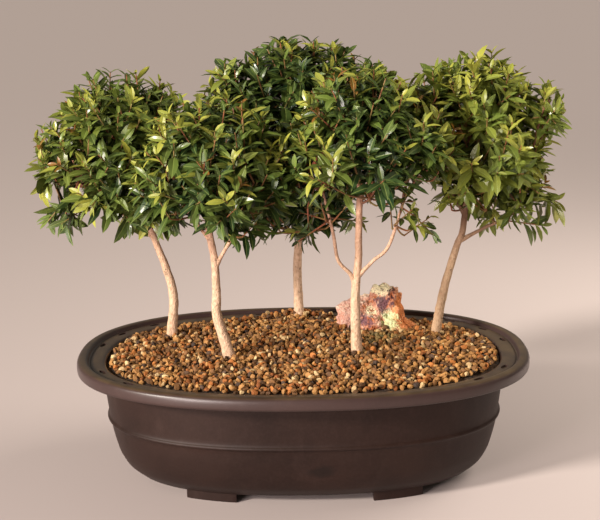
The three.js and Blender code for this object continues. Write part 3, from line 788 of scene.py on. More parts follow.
@dataclass
class Pot:
    """The moulded oval pot: body, ledge, rim with its hollow skirt, feet, slots and holes.

    The section runs from under the floor up the outside, over the rim and down the inside, as
    insets from the rim's outer edge and heights. Each foot spans a length along X and lies
    between two insets. A side is -1 at the left and 1 at the right, and an end is -1 at the front.
    """

    sides: int = 216
    outside: tuple = (
        (47.8, 8), (38, 16), (32.5, 26), (28.4, 41), (26.1, 52.6), (23.9, 53.8), (23.9, 55.4), (25.5, 57),
        (21.4, 90), (20.8, 98.8), (4.2, 98.8), (3.2, 93.5), (1, 93.5), (0, 95), (0, 101.2), (1.6, 103.4),
        (4, 104), (8.4, 104), (9.6, 100.4), (10.8, 99.9), (11.8, 101), (22, 100.8),
    )
    inside: tuple = ((WALL_TOP_INSET, 98.6), (28.6, 57), (33, 34), (41, 19), (51, 12))
    longest_cut: float = 2.0
    foot_height: float = 8.0
    foot_sunk: float = 3.0
    foot_span: tuple = (55.0, 96.0)
    foot_insets: tuple = (49.5, 76.0)
    foot_flare: float = 1.5
    foot_edge: float = 0.8
    slot_size: tuple = (11.5, 4.4, 9.2)
    slot_insets: tuple = (14.8, 16.6)
    back_turns: tuple = (9, 26, 44, 81, 99, 136, 154, 171)
    front_turns: tuple = (202, 221, 319, 338)
    hole_radius: float = 6.0
    hole_place: tuple = (70.0, 32.0)
    rim_height: float = 104.0

    def profile(self) -> Points:
        """The section, with its corners cut twice to round them."""
        line = np.array(self.outside + self.inside, float)
        for _ in range(2):
            rounded = [line[0]]
            for before, corner, after in zip(line, line[1:], line[2:]):
                for other in (before, after):
                    way = other - corner
                    length = float(np.linalg.norm(way))
                    rounded.append(corner + way / length * min(0.25 * length, self.longest_cut))
            line = np.array([*rounded, line[-1]])
        return line

    def foot(self, side: int, end: int) -> Piece:
        """One foot: a block bent to the oval, with bevelled edges."""
        Workbench.clear()
        bpy.ops.mesh.primitive_cube_add(size=1, enter_editmode=True)
        bpy.ops.mesh.subdivide(number_cuts=9)
        bpy.ops.object.mode_set(mode="OBJECT")
        foot = bpy.context.object
        near, far = self.foot_span
        top = self.foot_height + self.foot_sunk
        for vert in foot.data.vertices:
            across, deep, high = vert.co + Vector((0.5, 0.5, 0.5))
            x = near + across * (far - near)
            outer = OVAL.front(x, self.foot_insets[0] - self.foot_flare * high)
            inner = OVAL.front(x, self.foot_insets[1])
            vert.co = Vector((side * x, end * (inner + (outer - inner) * deep), high * top)) * MM
        Workbench.activate(foot)
        Workbench.on_all(bpy.ops.mesh.normals_make_consistent)
        Workbench.modify(foot, "BEVEL", width=self.foot_edge * MM, segments=2, angle_limit=math.radians(50))
        return foot

    @staticmethod
    def rod(sides: int, size: tuple, place: tuple, turn: float) -> Piece:
        """A rod to cut with.

        Args:
            sides: How many sides it has.
            size: How wide it is along and across, and how high.
            place: Its middle.
            turn: How far it is turned about the vertical.

        Returns:
            The rod.
        """
        Workbench.clear()
        bpy.ops.mesh.primitive_cylinder_add(vertices=sides, radius=0.5, depth=1)
        rod = bpy.context.object
        stand = Matrix.Translation(Vector(place) * MM) @ Matrix.Rotation(turn, 4, "Z")
        rod.data.transform(stand @ Matrix.Diagonal((*(Vector(size) * MM), 1.0)))
        return rod

    def slot_cutter(self, turn: int, inset: float) -> Piece:
        """The oval rod that sinks one tie slot into the rim's inner band, at a turn in degrees."""
        ring = OVAL.ring(inset, self.rim_height, 360)
        here, following = ring[turn], ring[(turn + 1) % 360]
        return self.rod(24, self.slot_size, here, math.atan2(following[1] - here[1], following[0] - here[0]))

    def build(self, finish: Material) -> None:
        """Models the pot, with its feet joined and its slots and holes cut."""
        rings = np.array([OVAL.ring(inset, height, self.sides) for inset, height in self.profile()])
        pot = Workbench.loft("moulded_pot", rings)
        hole_size = (2 * self.hole_radius, 2 * self.hole_radius, 20)
        for side in (-1, 1):
            for end in (-1, 1):
                Workbench.combine(pot, self.foot(side, end), "UNION")
                place = (side * self.hole_place[0], end * self.hole_place[1], self.foot_height)
                Workbench.combine(pot, self.rod(32, hole_size, place, 0), "DIFFERENCE")
        for turns, inset in zip((self.back_turns, self.front_turns), self.slot_insets):
            for turn in turns:
                Workbench.combine(pot, self.slot_cutter(turn, inset), "DIFFERENCE")
        Workbench.smooth(pot, 34)
        Workbench.dress(pot, Slot.POT, [finish], "pot")


@dataclass(frozen=True)
class GrainKind:
    """One kind of grain: its name, its share of all grains and its two shades."""

    name: str
    share: float
    deep: Colour
    light: Colour


@dataclass
class Gravel:
    """The top dressing: a dark bed and loose grains of five kinds on it.

    The surface rises from the wall to the middle, with a heap at a place, of a spread and a
    height. Grains fill a net with a spacing, drift a little from it, and some lie loose on top.
    """

    edge: float = 99.5
    rise: float = 4.0
    heap: tuple = (-3.0, 110.0, 18.0, 3.0)
    bottom: float = 92.3
    bed_depth: float = 2.2
    bed_sides: int = 144
    bed_rings: int = 34
    spacing: float = 4.85
    drift: float = 1.5
    radius: tuple = (2.0, 3.3)
    wall_gap: float = 2.6
    loose: int = 420
    heaped: int = 90
    shapes: int = 12
    chips: int = 12
    chip_depth: tuple = (0.5, 0.85)
    stretch: tuple = ((0.95, 1.3), (0.8, 1.05), (0.65, 0.9))
    net_lift: tuple = (-0.9, 0.9)
    loose_lift: tuple = (1.6, 2.6)
    heaped_lift: tuple = (2.2, 4.6)
    seed: int = 7
    kinds: tuple = (
        GrainKind("tan_grains", 0.36, colour(0.19, 0.08, 0.02), colour(0.57, 0.29, 0.088)),
        GrainKind("rust_grains", 0.18, colour(0.19, 0.055, 0.011), colour(0.53, 0.19, 0.04)),
        GrainKind("brown_grains", 0.34, colour(0.045, 0.019, 0.006), colour(0.26, 0.118, 0.036)),
        GrainKind("dark_grains", 0.05, colour(0.024, 0.013, 0.008), colour(0.13, 0.075, 0.046)),
        GrainKind("pale_grains", 0.07, colour(0.38, 0.235, 0.095), colour(0.74, 0.52, 0.26)),
    )

    def height(self, x: Points, y: Points) -> Points:
        """The surface's height at places."""
        inside = np.maximum(0, 1 - OVAL.share(x, y, WALL_TOP_INSET))
        heap_x, heap_y, spread, high = self.heap
        banked = high * np.exp(-((x - heap_x) ** 2 + (y - heap_y) ** 2) / spread**2)
        return self.edge + self.rise * inside**0.6 + banked

    def bed(self, finish: Material) -> None:
        """Models the bed: a closed slab whose top follows the surface, a little below the grains."""
        rim = OVAL.ring(WALL_TOP_INSET + 0.6, 0.0, self.bed_sides)
        low = OVAL.ring(WALL_TOP_INSET + 1.6, self.bottom, self.bed_sides)
        rings = [low * [0.02, 0.02, 1], low]
        for share in np.linspace(1, 0.02, self.bed_rings):
            ring = rim * share
            ripple = [0.5 * noise.noise(Vector((x, y, 0)) * 0.25) for x, y in ring[:, :2]]
            ring[:, 2] = self.height(ring[:, 0], ring[:, 1]) - self.bed_depth + ripple
            rings.append(ring)
        bed = Workbench.loft("gravel_bed", np.array(rings))
        Workbench.smooth(bed, 60)
        Workbench.dress(bed, Slot.GRAVEL, [finish], "gravel")

    def shape(self, draw: Draw) -> tuple[Points, Points]:
        """Models one grain shape: a ball chipped flat on several sides, of about one unit's size."""
        Workbench.clear()
        bpy.ops.mesh.primitive_ico_sphere_add(subdivisions=2, radius=MM)
        points, faces = Workbench.model(bpy.context.object)
        for _ in range(self.chips):
            way = unit(draw.normal(size=3))
            beyond = np.maximum(0, points @ way - draw.uniform(*self.chip_depth))
            points = points - beyond[:, None] * way
        return points * [draw.uniform(*span) for span in self.stretch], faces

    def places(self, draw: Draw) -> Points:
        """Where the grains lie: a jittered net that fills the oval, then loose ones on top."""
        half_length, half_depth = OVAL.half_length, OVAL.half_depth
        row_step = self.spacing * math.sqrt(3) / 2
        most_rows, most_columns = math.ceil(half_depth / row_step), math.ceil(half_length / self.spacing)
        net = np.meshgrid(
            np.arange(-most_rows, most_rows + 1), np.arange(-most_columns, most_columns + 1), indexing="ij"
        )
        row, column = (grid.ravel() for grid in net)
        x = (column + (row % 2) / 2) * self.spacing + draw.uniform(-self.drift, self.drift, len(row))
        y = row * row_step + draw.uniform(-self.drift, self.drift, len(row))
        lift = draw.uniform(*self.net_lift, len(row))
        x = np.concatenate([x, draw.uniform(-half_length, half_length, self.loose)])
        y = np.concatenate([y, draw.uniform(-half_depth, half_depth, self.loose)])
        lift = np.concatenate([lift, draw.uniform(*self.loose_lift, self.loose)])
        kept = OVAL.share(x, y, WALL_TOP_INSET + self.wall_gap) < 1
        heap_x, heap_y, spread, _ = self.heap
        x = np.concatenate([x[kept], draw.normal(heap_x, spread, self.heaped)])
        y = np.concatenate([y[kept], np.minimum(heap_y + draw.normal(0, 5, self.heaped), heap_y + 9)])
        lift = np.concatenate([lift[kept], draw.uniform(*self.heaped_lift, self.heaped)])
        return np.stack([x, y, self.height(x, y) + lift], 1)

    @staticmethod
    def turned(turn: Points) -> Points:
        """The matrix of a turn that is given as four numbers at length one together."""
        a, b, c, d = turn
        return np.array([
            [1 - 2 * (c * c + d * d), 2 * (b * c - a * d), 2 * (b * d + a * c)],
            [2 * (b * c + a * d), 1 - 2 * (b * b + d * d), 2 * (c * d - a * b)],
            [2 * (b * d - a * c), 2 * (c * d + a * b), 1 - 2 * (b * b + c * c)],
        ])

    def build(self, bed_finish: Material, effects: Effects) -> None:
        """Lays the bed and the grains."""
        self.bed(bed_finish)
        draw = np.random.default_rng(self.seed)
        shapes = [self.shape(draw) for _ in range(self.shapes)]
        places = self.places(draw)
        size = draw.uniform(*self.radius, len(places))
        turns = [unit(draw.normal(size=4)) for _ in places]
        which = draw.integers(0, len(shapes), len(places))
        shares = np.cumsum([kind.share for kind in self.kinds])
        kind_of = np.minimum(np.searchsorted(shares, draw.uniform(0, 1, len(places))), len(self.kinds) - 1)
        tint = draw.uniform(0, 1, len(places))
        for number, kind in enumerate(self.kinds):
            chosen = np.flatnonzero(kind_of == number)
            grains = [shapes[which[i]][0] @ self.turned(turns[i]).T * size[i] + places[i] for i in chosen]
            piece = Workbench.copies(kind.name, np.array(grains), shapes[0][1])
            Workbench.mark(piece, "tint", tint[chosen])
            Workbench.smooth(piece, 26)
            finish = GrainFinish(kind.name.replace("_", " "), kind.deep, kind.light)
            Workbench.dress(piece, Slot.GRAVEL, [finish.build(effects)])


@dataclass
class Stone:
    """The rust-coloured stone, craggy and hollowed. A hollow is a place, a radius and a depth."""

    place: tuple = (65.5, 76.0, 99.0)
    half: tuple = (38.5, 22.0)
    height: float = 37.0
    root: float = 6.0
    lean: float = 8.0
    right_slope: float = 0.85
    hollows: tuple = (
        ((72, 54, 125), 7.5, 8.0), ((79, 56, 135), 4.5, 4.0),
        ((56, 54, 111), 6.0, 3.5), ((55, 60, 134), 4.5, 5.0),
    )
    painted_relief_gain: float = 3.8
    painted_hollow_shade: float = 0.12

    @staticmethod
    def crags(way: Vector) -> float:
        """How far the stone stands out in a direction, by broken blocks, chips, ridges and pits."""
        blocks, pits, chips = (noise.voronoi(way * scale)[0] for scale in (2.3, 7.0, 5.2))
        ridges = noise.ridged_multi_fractal(way * 2.6, 0.9, 2.1, 5, 1.0, 2.0)
        broken = 0.17 * (blocks[1] - blocks[0]) + 0.08 * (chips[1] - chips[0])
        return broken + 0.05 * (ridges - 1.0) + 0.05 * (pits[0] - 0.3) - 0.07

    @staticmethod
    def bumps(x: float, y: float, z: float) -> float:
        """The stone's few large bumps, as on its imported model."""
        return (
            0.11 * math.sin(5.1 * x + 1.3) * math.cos(4.3 * y + 0.7)
            + 0.09 * math.sin(7.7 * z + 3.1 * x)
            + 0.07 * math.cos(9.2 * x - 6.4 * y + 2)
        )

    def build(self, finish: Material) -> None:
        """Pushes a fine ball into the stone's form, then adds crags and hollows, and marks its relief,
        darkened in the hollows, for the finish's painted shade and light.
        """
        Workbench.clear()
        bpy.ops.mesh.primitive_ico_sphere_add(subdivisions=6, radius=1)
        stone = bpy.context.object
        stone.name = "craggy_stone"
        relief = []
        for vert in stone.data.vertices:
            x, y, z = vert.co
            crags = self.crags(vert.co)
            swell = 0.95 + self.bumps(x, y, z) + crags
            slope = 1 - self.right_slope * max(x, 0) * max(z, 0)
            up = self.height * z * swell if z > 0 else self.root * z
            point = Vector((
                self.place[0] + self.half[0] * x * swell * slope + self.lean * max(z, 0),
                self.place[1] + self.half[1] * y * swell,
                self.place[2] + up,
            ))
            for centre, radius, depth in self.hollows:
                dent = math.exp(-(((point - Vector(centre)).length / radius) ** 2))
                point += Vector((0, 1, 0)) * depth * dent
                # Darkens the relief in the hollows as painted shade.
                crags -= self.painted_hollow_shade * dent
            vert.co = point * MM
            relief.append(0.5 + self.painted_relief_gain * crags)
        Workbench.mark(stone, "relief", np.clip(relief, 0, 1))
        Workbench.smooth(stone, 70)
        Workbench.dress(stone, Slot.ROCK, [finish], "rock")


@dataclass(frozen=True)
class Stem:
    """A trunk or main branch: its radius at both ends and what it runs through."""

    start: float
    end: float
    points: tuple


@dataclass(frozen=True)
class Planting:
    """One tree's own sizes: stems, the crown's axis and the lobes of its outline.

    The trunk is bare up to a height where it is seen from the front, the crown is airy below
    another height, and branchlets fork off above a third. A tree's light paints its leaves lighter
    or darker, as painted light and shade, and gives it more or fewer fresh leaves; those under its
    crown are larger or smaller than the rest. A lobe is its middle and its half sizes.
    """

    number: int
    seed: int
    bare_to: float
    airy_below: float
    fork_from: float
    light: float
    low_leaf: float
    trunk: Stem
    branches: tuple
    axis: tuple
    lobes: tuple
    bare_slope: float = 1.2
    bare_rise: float = 0.22
    bare_behind: float = 12.0

    def lobe_rows(self) -> Points:
        """The lobes, one row each."""
        return np.array(self.lobes, float)

    def spine(self, above: float) -> Points:
        """Points along all the stems above a height."""
        spine = np.vstack([curve_points(stem.points, 40) for stem in (self.trunk, *self.branches)])
        return spine[spine[:, 2] > above]

    def is_bare(self, points: Points) -> Points:
        """Whether points lie in the open wedge in front of the trunk's bare lower part."""
        line = curve_points(self.trunk.points, 60)
        x, y = (np.interp(points[..., 2], line[:, 2], line[:, axis]) for axis in (0, 1))
        limit = self.bare_to + self.bare_rise * (y - points[..., 1])
        below = points[..., 2] < limit - self.bare_slope * np.abs(points[..., 0] - x)
        return below & (points[..., 1] < y + self.bare_behind)

    def into_next(self, points: Points) -> Points:
        """How far points lie past the border with the nearest other tree, less than 0 on the own side."""
        own = np.array(self.axis, float)
        others = [np.array(other.axis, float) for other in PLANTINGS if other is not self]
        past = [((points[..., :2] - (own + other) / 2) * unit(other - own)).sum(-1) for other in others]
        return np.max(past, axis=0)


PLANTINGS = (
    Planting(
        1, 11, 186, 222, 226, 0.11, 1.3,
        Stem(5.2, 2.4, ((-115, 53, 66), (-116, 53, 101), (-113, 51, 136), (-118, 49, 162), (-126, 48, 185),
                        (-137, 47, 220), (-146, 46, 262))),
        (
            Stem(2.6, 1.6, ((-127, 48, 190), (-152, 44, 212), (-182, 41, 238))),
            Stem(2.4, 1.5, ((-133, 47, 208), (-121, 58, 230), (-116, 62, 252))),
        ),
        (-150, 45),
        ((-150, 45, 290, 60, 54, 50), (-194, 40, 262, 41, 44, 40), (-112, 52, 262, 42, 48, 44),
         (-200, 36, 218, 30, 32, 18), (-140, 72, 244, 50, 42, 40), (-150, 12, 250, 46, 36, 42),
         (-128, 26, 216, 32, 28, 26)),
    ),
    Planting(
        2, 23, 217, 222, 206, 0.0, 1.12,
        Stem(6, 2.3, ((-56, -22, 66), (-61, -21, 101), (-71, -20, 138), (-71, -20, 157), (-72, -20, 186),
                      (-76, -20, 214), (-74, -21, 258))),
        (
            Stem(2.6, 1.7, ((-71, -20, 180), (-66, -21, 189), (-55, -22, 208), (-42, -24, 236))),
            Stem(2.3, 1.5, ((-74, -20, 200), (-90, -19, 222), (-102, -18, 242))),
        ),
        (-72, -22),
        ((-72, -22, 280, 54, 52, 46), (-104, -20, 250, 38, 42, 38), (-36, -25, 254, 38, 42, 40),
         (-70, -56, 250, 44, 38, 36), (-70, 12, 246, 44, 32, 38), (-58, -28, 224, 40, 38, 28)),
    ),
    Planting(
        3, 37, 180, 206, 188, -0.2, 1.0,
        Stem(5, 2.6, ((-3, 100, 66), (-3, 105, 103), (-4, 106, 143), (-3, 104, 170), (-2, 100, 205),
                      (0, 92, 250), (1, 84, 296))),
        (
            Stem(2.6, 1.6, ((-2, 101, 196), (-22, 93, 222), (-36, 80, 262))),
            Stem(2.6, 1.6, ((-2, 99, 212), (18, 92, 236), (34, 82, 272))),
        ),
        (-2, 82),
        ((-1, 76, 322, 62, 50, 46), (-46, 72, 308, 38, 42, 40), (40, 76, 310, 38, 42, 40),
         (0, 107, 286, 50, 36, 46), (0, 78, 262, 62, 50, 46), (0, 88, 220, 52, 42, 42)),
    ),
    Planting(
        4, 41, 240, 256, 224, -0.08, 0.72,
        Stem(5.2, 2.5, ((45, -14, 66), (45, -14, 101), (44, -14, 149), (47, -14, 184), (47, -15, 198),
                        (48, -15, 231), (50, -14, 272))),
        (
            Stem(2.6, 1.6, ((44, -14, 161), (40, -15, 171), (30, -17, 183), (26, -18, 206), (18, -18, 240))),
            Stem(2.6, 1.6, ((46, -14, 168), (59, -16, 182), (72, -17, 195), (84, -16, 232))),
        ),
        (47, -15),
        ((48, -10, 300, 54, 50, 47), (8, -15, 264, 44, 44, 42), (89, -12, 278, 42, 44, 42),
         (50, -54, 262, 48, 40, 42), (54, 24, 262, 46, 34, 42), (46, -20, 222, 54, 46, 40),
         (96, -14, 209, 28, 26, 18), (14, -18, 207, 29, 26, 18)),
    ),
    Planting(
        5, 60, 216, 236, 214, 0.45, 1.1,
        Stem(5, 2.4, ((117, 51, 66), (118, 51, 102), (125, 50, 143), (135, 49, 179), (140, 48, 193),
                      (143, 48, 219), (149, 47, 266))),
        (
            Stem(2.6, 1.7, ((137, 49, 184), (158, 46, 196), (177, 44, 207), (194, 43, 236))),
            Stem(2.3, 1.5, ((142, 48, 206), (130, 47, 230), (122, 46, 256))),
        ),
        (150, 48),
        ((150, 48, 304, 52, 52, 46), (112, 44, 296, 42, 44, 44), (174, 45, 268, 40, 44, 38),
         (154, 8, 264, 45, 38, 40), (154, 86, 262, 45, 36, 42), (166, 45, 234, 52, 44, 34),
         (204, 46, 299, 28, 34, 24), (211, 44, 222, 23, 24, 18), (198, 42, 202, 22, 18, 15)),
    ),
)
# The tree whose bark carries painted shade.
PAINTED_SHADE_TREE = 5


@dataclass
class Wood:
    """One tree's wood: its bark-clad trunk and branches, and the branchlets that fork off them.

    Places and spreads along a stem are shares of its length. Each of the bark's bumps has a grain
    and a share of the radius. A branchlet is thicker at its start, and more so the longer it is.
    """

    planting: Planting
    stem_sides: int = 14
    trunk_rings: int = 64
    limb_rings: int = 30
    trunk_slim: float = 0.9
    limb_slim: float = 0.66
    flare: float = 0.12
    flare_place: float = 0.16
    flare_spread: float = 0.07
    knot_depth: float = 0.06
    knot_pace: float = 9.0
    collar: float = 0.35
    collar_spread: float = 0.12
    bark_bumps: tuple = ((0.22, 0.1), (0.7, 0.05))
    branchlets: int = 6
    branchlet_sides: int = 7
    branchlet_rings: int = 10
    branchlet_reach: tuple = (0.3, 0.62)
    branchlet_thick: float = 1.1
    branchlet_gain: float = 0.009
    branchlet_thin: float = 0.75
    least_climb: float = 0.5
    astray: float = 0.06
    sag: float = 0.06
    shoots_below: float = 14.0

    def stem(self, name: str, stem: Stem, steps: int, slim: float, flare: float) -> Piece:
        """Models a stem: a round skin with knots, a collar at its start and uneven bark.

        Args:
            name: The object's name.
            stem: Its sizes.
            steps: How many rings.
            slim: The share of the stem's stated radius that its bark has.
            flare: How much wider it is at the gravel.

        Returns:
            The object.
        """
        line = curve_points(stem.points, steps)
        tangents = unit(np.gradient(line, axis=0))
        sideways = unit(np.cross(tangents, [0.0, 1.0, 0.0]))
        forward = np.cross(sideways, tangents)
        angle = 2 * np.pi * np.arange(self.stem_sides)[:, None] / self.stem_sides
        rings = []
        for i, share in enumerate(np.linspace(0, 1, steps)):
            foot = flare * math.exp(-(((share - self.flare_place) / self.flare_spread) ** 2))
            knots = 1 + self.knot_depth * math.sin(self.knot_pace * share + stem.start) + foot
            collar = 0.0 if flare else self.collar * math.exp(-((share / self.collar_spread) ** 2))
            radius = slim * (stem.start + (stem.end - stem.start) * share) * (knots + collar)
            ring = line[i] + radius * (np.cos(angle) * sideways[i] + np.sin(angle) * forward[i])
            for point in ring:
                bump = sum(noise.noise(Vector(point) * grain) * deep for grain, deep in self.bark_bumps)
                point += (point - line[i]) * bump
            rings.append(ring)
        return Workbench.loft(name, np.array(rings))

    def branchlet_arcs(self, draw: Draw) -> Points:
        """Where branchlets leave the stems, what pulls them, and where they end inside the crown."""
        planting = self.planting
        spine = planting.spine(planting.fork_from)
        ends = np.array([
            lobe[:3] + lobe[3:] * way * draw.uniform(*self.branchlet_reach)
            for lobe in planting.lobe_rows()
            for way in spiral(self.branchlets, draw)
        ])
        ends = ends[~planting.is_bare(ends) & (ends[:, 2] > planting.fork_from)]
        flat = np.linalg.norm(ends[:, None, :2] - spine[None, :, :2], axis=2)
        gap = np.linalg.norm(ends[:, None] - spine[None], axis=2)
        cost = gap + 2 * np.maximum(0, spine[None, :, 2] - ends[:, None, 2] + 0.35 * flat)
        starts = spine[cost.argmin(1)]
        climbs = ends[:, 2] - starts[:, 2] > self.least_climb * np.linalg.norm(ends - starts, axis=1)
        starts, ends = starts[climbs], ends[climbs]
        span = np.linalg.norm(ends - starts, axis=1)[:, None]
        pull = (starts + ends) / 2 + span * (draw.normal(0, self.astray, ends.shape) - UP * self.sag)
        return np.stack([starts, pull, ends])

    def joints(self, arcs: Points) -> Points:
        """Places along the branchlets and the upper stems that shoots may grow from."""
        on_arcs = arc(np.linspace(0.3, 1, 9)[:, None, None], *arcs).reshape(-1, 3)
        places = np.vstack([on_arcs, self.planting.spine(self.planting.fork_from - self.shoots_below)])
        return places[~self.planting.is_bare(places)]

    def build(self, bark: Material, draw: Draw) -> Points:
        """Models the stems and branchlets and returns where shoots may grow from."""
        number = self.planting.number
        trunk = self.stem(
            f"trunk_{number}_bark", self.planting.trunk, self.trunk_rings, self.trunk_slim, self.flare
        )
        limbs = [
            self.stem(f"limb_{number}_{i}", branch, self.limb_rings, self.limb_slim, 0.0)
            for i, branch in enumerate(self.planting.branches)
        ]
        arcs = self.branchlet_arcs(draw)
        thick = self.branchlet_thick + np.linalg.norm(arcs[2] - arcs[0], axis=1) * self.branchlet_gain
        radii = np.stack([thick, np.full(len(thick), self.branchlet_thin)])
        shape = (self.branchlet_sides, self.branchlet_rings)
        branchlets = Workbench.rods(f"branchlets_{number}", *shape, arcs, radii)
        Workbench.mark(branchlets, "young", np.ones(len(thick)))
        Workbench.activate(trunk, *limbs, branchlets)
        bpy.ops.object.join()
        Workbench.smooth(trunk, 60)
        Workbench.dress(trunk, Slot.BARK, [bark], f"trunk_{number}")
        return self.joints(arcs)


@dataclass(frozen=True)
class ShootLayer:
    """One layer of a crown's shoots.

    They end at an inset inside the lobes and stand apart by a distance. None ends so deep in
    another lobe that its squared share of that lobe's half sizes is under buried. Its leaves are
    painted as light as a share says, from 0 for the darkest to 1: the inner layer's leaves are darker,
    partly as older leaves and partly as painted shade deep in the crown.
    """

    inset: float
    apart: float
    buried: float
    is_outer: bool
    painted_lightness: float


@dataclass(frozen=True)
class Shoot:
    """One shoot: its ends and direction, how young its last leaves are, and how light they all are, with
    painted shade for inner shoots.

    A low one grows under the crown, where it is bare at its start and its leaves hang.
    """

    root: Points
    tip: Points
    axis: Points
    kind: Flush
    is_low: bool
    painted_lightness: float


@dataclass
class Crown:
    """One tree's crown: shoots spread over its lobes, with twigs and opposite leaves.

    A pair's size and youth are given from the shoot's start to its tip. A shoot is sunny where it
    faces up or sideways enough. Leaves higher up and further to the sides get a lighter tint, as
    painted light. Angles are in radians, and shares of a leaf are of its length.
    """

    planting: Planting
    # The inner layer's leaves are darker: partly older leaves and partly painted shade.
    layers: tuple = (ShootLayer(5.0, 17.0, 0.85, True, 1.0), ShootLayer(18.0, 21.0, 0.4, False, 0.3))
    least_half: float = 5.0
    swell: float = 7.0
    swell_grain: float = 0.045
    hole_grain: float = 0.028
    hole_level: float = -0.3
    edge_gap: tuple = (4.0, 10.0)
    low_thinning: float = 0.58
    reach_into_next: float = 8.0
    low_facing: float = -0.4
    outward: float = 0.8
    rise: float = 0.8
    low_rise: float = 0.1
    astray: float = 0.26
    shoot_length: tuple = (24.0, 42.0)
    longest_foot: float = 46.0
    low_foot: float = 0.62
    foot_pull: float = 0.35
    joint_pull: float = 0.7
    most_of_span: float = 0.85
    twig_radius: float = 0.9
    twig_taper: tuple = (0.8, 0.45)
    twig_sides: int = 4
    twig_rings: int = 7
    first_pair: float = 0.7
    pair_sizes: tuple = (0.9, 1.06, 1.04, 0.94, 0.76, 0.5)
    pair_youth: tuple = (0.12, 0.12, 0.12, 0.45, 1.0, 1.0)
    pair_swing: float = 0.2
    opening: tuple = (0.8, 1.25)
    closing: float = 0.42
    low_bare_pairs: int = 2
    low_hang: float = 0.35
    leaf_length: tuple = (15.0, 25.0)
    leaf_breadth: float = 0.35
    leaf_breadths: tuple = (0.78, 1.15)
    leaf_astray: float = 0.14
    upper_astray: float = 0.16
    upper_rise: float = 0.4
    droop: tuple = (0.02, 0.46)
    twist: float = 0.34
    bronze_leaf: float = 0.75
    sunny_up: float = 0.4
    sunny_side: float = 0.6
    fresh_left_painted_light: float = 0.8
    fresh_sunny: float = 0.42
    fresh_shady: float = 0.13
    fresh_by_light: float = 0.45
    bronze_sunny: float = 0.92
    bronze_shady: float = 0.96
    sunned: float = 0.5
    tint_shape: tuple = (1.4, 2.0)
    painted_light_high: float = 0.2
    painted_light_side: float = 0.28
    tint_reach: float = 60.0
    leaf_widths: tuple = ((0.24, 0.74), (0.54, 1.0), (0.82, 0.64))
    leaf_fold: float = 0.17
    leaf_thick: float = 0.05
    leaf_over: float = 4.0
    box_gap: float = 0.3

    def leaf_model(self) -> tuple[Points, Points]:
        """Models one flat leaf of length one along Y, folded on its rib, with drawn-out ends."""
        rings = []
        for place, breadth in self.leaf_widths:
            half, fold, thick = breadth / 2, self.leaf_fold * breadth, self.leaf_thick * breadth
            rings.append([(-half, place, fold), (0, place, -thick), (half, place, fold), (0, place, thick)])
        leaf = Workbench.loft("leaf", np.array(rings))
        bpy.ops.object.mode_set(mode="EDIT")
        bpy.ops.mesh.select_all(action="DESELECT")
        edit = bmesh.from_edit_mesh(leaf.data)
        for face in edit.faces:
            face.select = abs(face.normal.y) > 0.9
        bpy.ops.mesh.poke()
        edit = bmesh.from_edit_mesh(leaf.data)
        for vert in edit.verts:
            if all(len(face.verts) == 3 for face in vert.link_faces):
                vert.co = Vector((0, round(vert.co.y / MM), 0)) * MM
        bmesh.update_edit_mesh(leaf.data)
        bpy.ops.object.mode_set(mode="OBJECT")
        return Workbench.model(leaf)

    def tips(self, layer: ShootLayer, draw: Draw) -> tuple[Points, Points]:
        """Spreads a layer's shoots over the lobes, and gives their ends and which way each faces."""
        lobes = self.planting.lobe_rows()
        places, facings = [], []
        for number, lobe in enumerate(lobes):
            half = np.maximum(lobe[3:] - layer.inset, self.least_half)
            mean = float(((half * np.roll(half, 1)) ** 1.6).mean()) ** (1 / 1.6)
            ways = spiral(round(4 * math.pi * mean / layer.apart**2), draw)
            points = lobe[:3] + ways * half
            rest = np.delete(lobes, number, 0)
            share = (((points[:, None] - rest[:, :3]) / rest[:, 3:]) ** 2).sum(-1)
            free = (share > layer.buried).all(1)
            places.append(points[free])
            facings.append(unit(ways[free] / half))
        return np.vstack(places), np.vstack(facings)

    def grow(self, draw: Draw, joints: Points) -> tuple[list, list]:
        """Grows the shoots outward and up, each with a foot that joins it to the wood.

        Args:
            draw: The random source.
            joints: The places that shoots may grow from.

        Returns:
            Each twig's start, the shoot's root and its tip, and the leaves' rows.
        """
        twigs, leaves = [], []
        low, high = (np.array(corner) / MM for corner in cad_box)
        along_root = np.array([[0.0], [0.25], [0.5], [0.75]])
        for layer in self.layers:
            for tip, facing in zip(*self.tips(layer, draw)):
                tip = tip + facing * self.swell * noise.noise(Vector(tip) * self.swell_grain)
                lowest = low + draw.uniform(*self.edge_gap, 3)
                highest = high - draw.uniform(*self.edge_gap, 3)
                tip = np.clip(tip, lowest, highest)
                is_low = tip[2] < self.planting.airy_below or facing[2] < self.low_facing
                is_hole = noise.noise(Vector(tip) * self.hole_grain) < self.hole_level
                is_thinned = (is_low or is_hole) and draw.uniform() < self.low_thinning
                is_astray = self.planting.into_next(tip) > self.reach_into_next
                if is_thinned or is_astray or self.planting.is_bare(tip):
                    continue
                rise = self.low_rise if is_low else self.rise
                axis = unit(facing * self.outward + UP * rise + draw.normal(0, self.astray, 3))
                root = tip - axis * draw.uniform(*self.shoot_length)
                away = np.linalg.norm(root - joints, axis=1)
                lean = ((root - joints) @ axis) / np.maximum(away, 1)
                nearest = (away * (1.25 - 0.35 * lean)).argmin()
                if away[nearest] > self.longest_foot * (self.low_foot if is_low else 1.0):
                    continue
                hub = joints[nearest]
                span = np.linalg.norm(tip - hub)
                axis = unit(axis + self.joint_pull * (tip - hub) / span)
                root = tip - axis * min(np.linalg.norm(tip - root), self.most_of_span * span)
                if self.planting.is_bare(root + (tip - root) * along_root).any():
                    continue
                twigs.append((hub, root, tip))
                kind = self.flush_of(layer, facing, is_low, draw)
                leaves += self.leaf_out(Shoot(root, tip, axis, kind, is_low, layer.painted_lightness), draw)
        return twigs, leaves

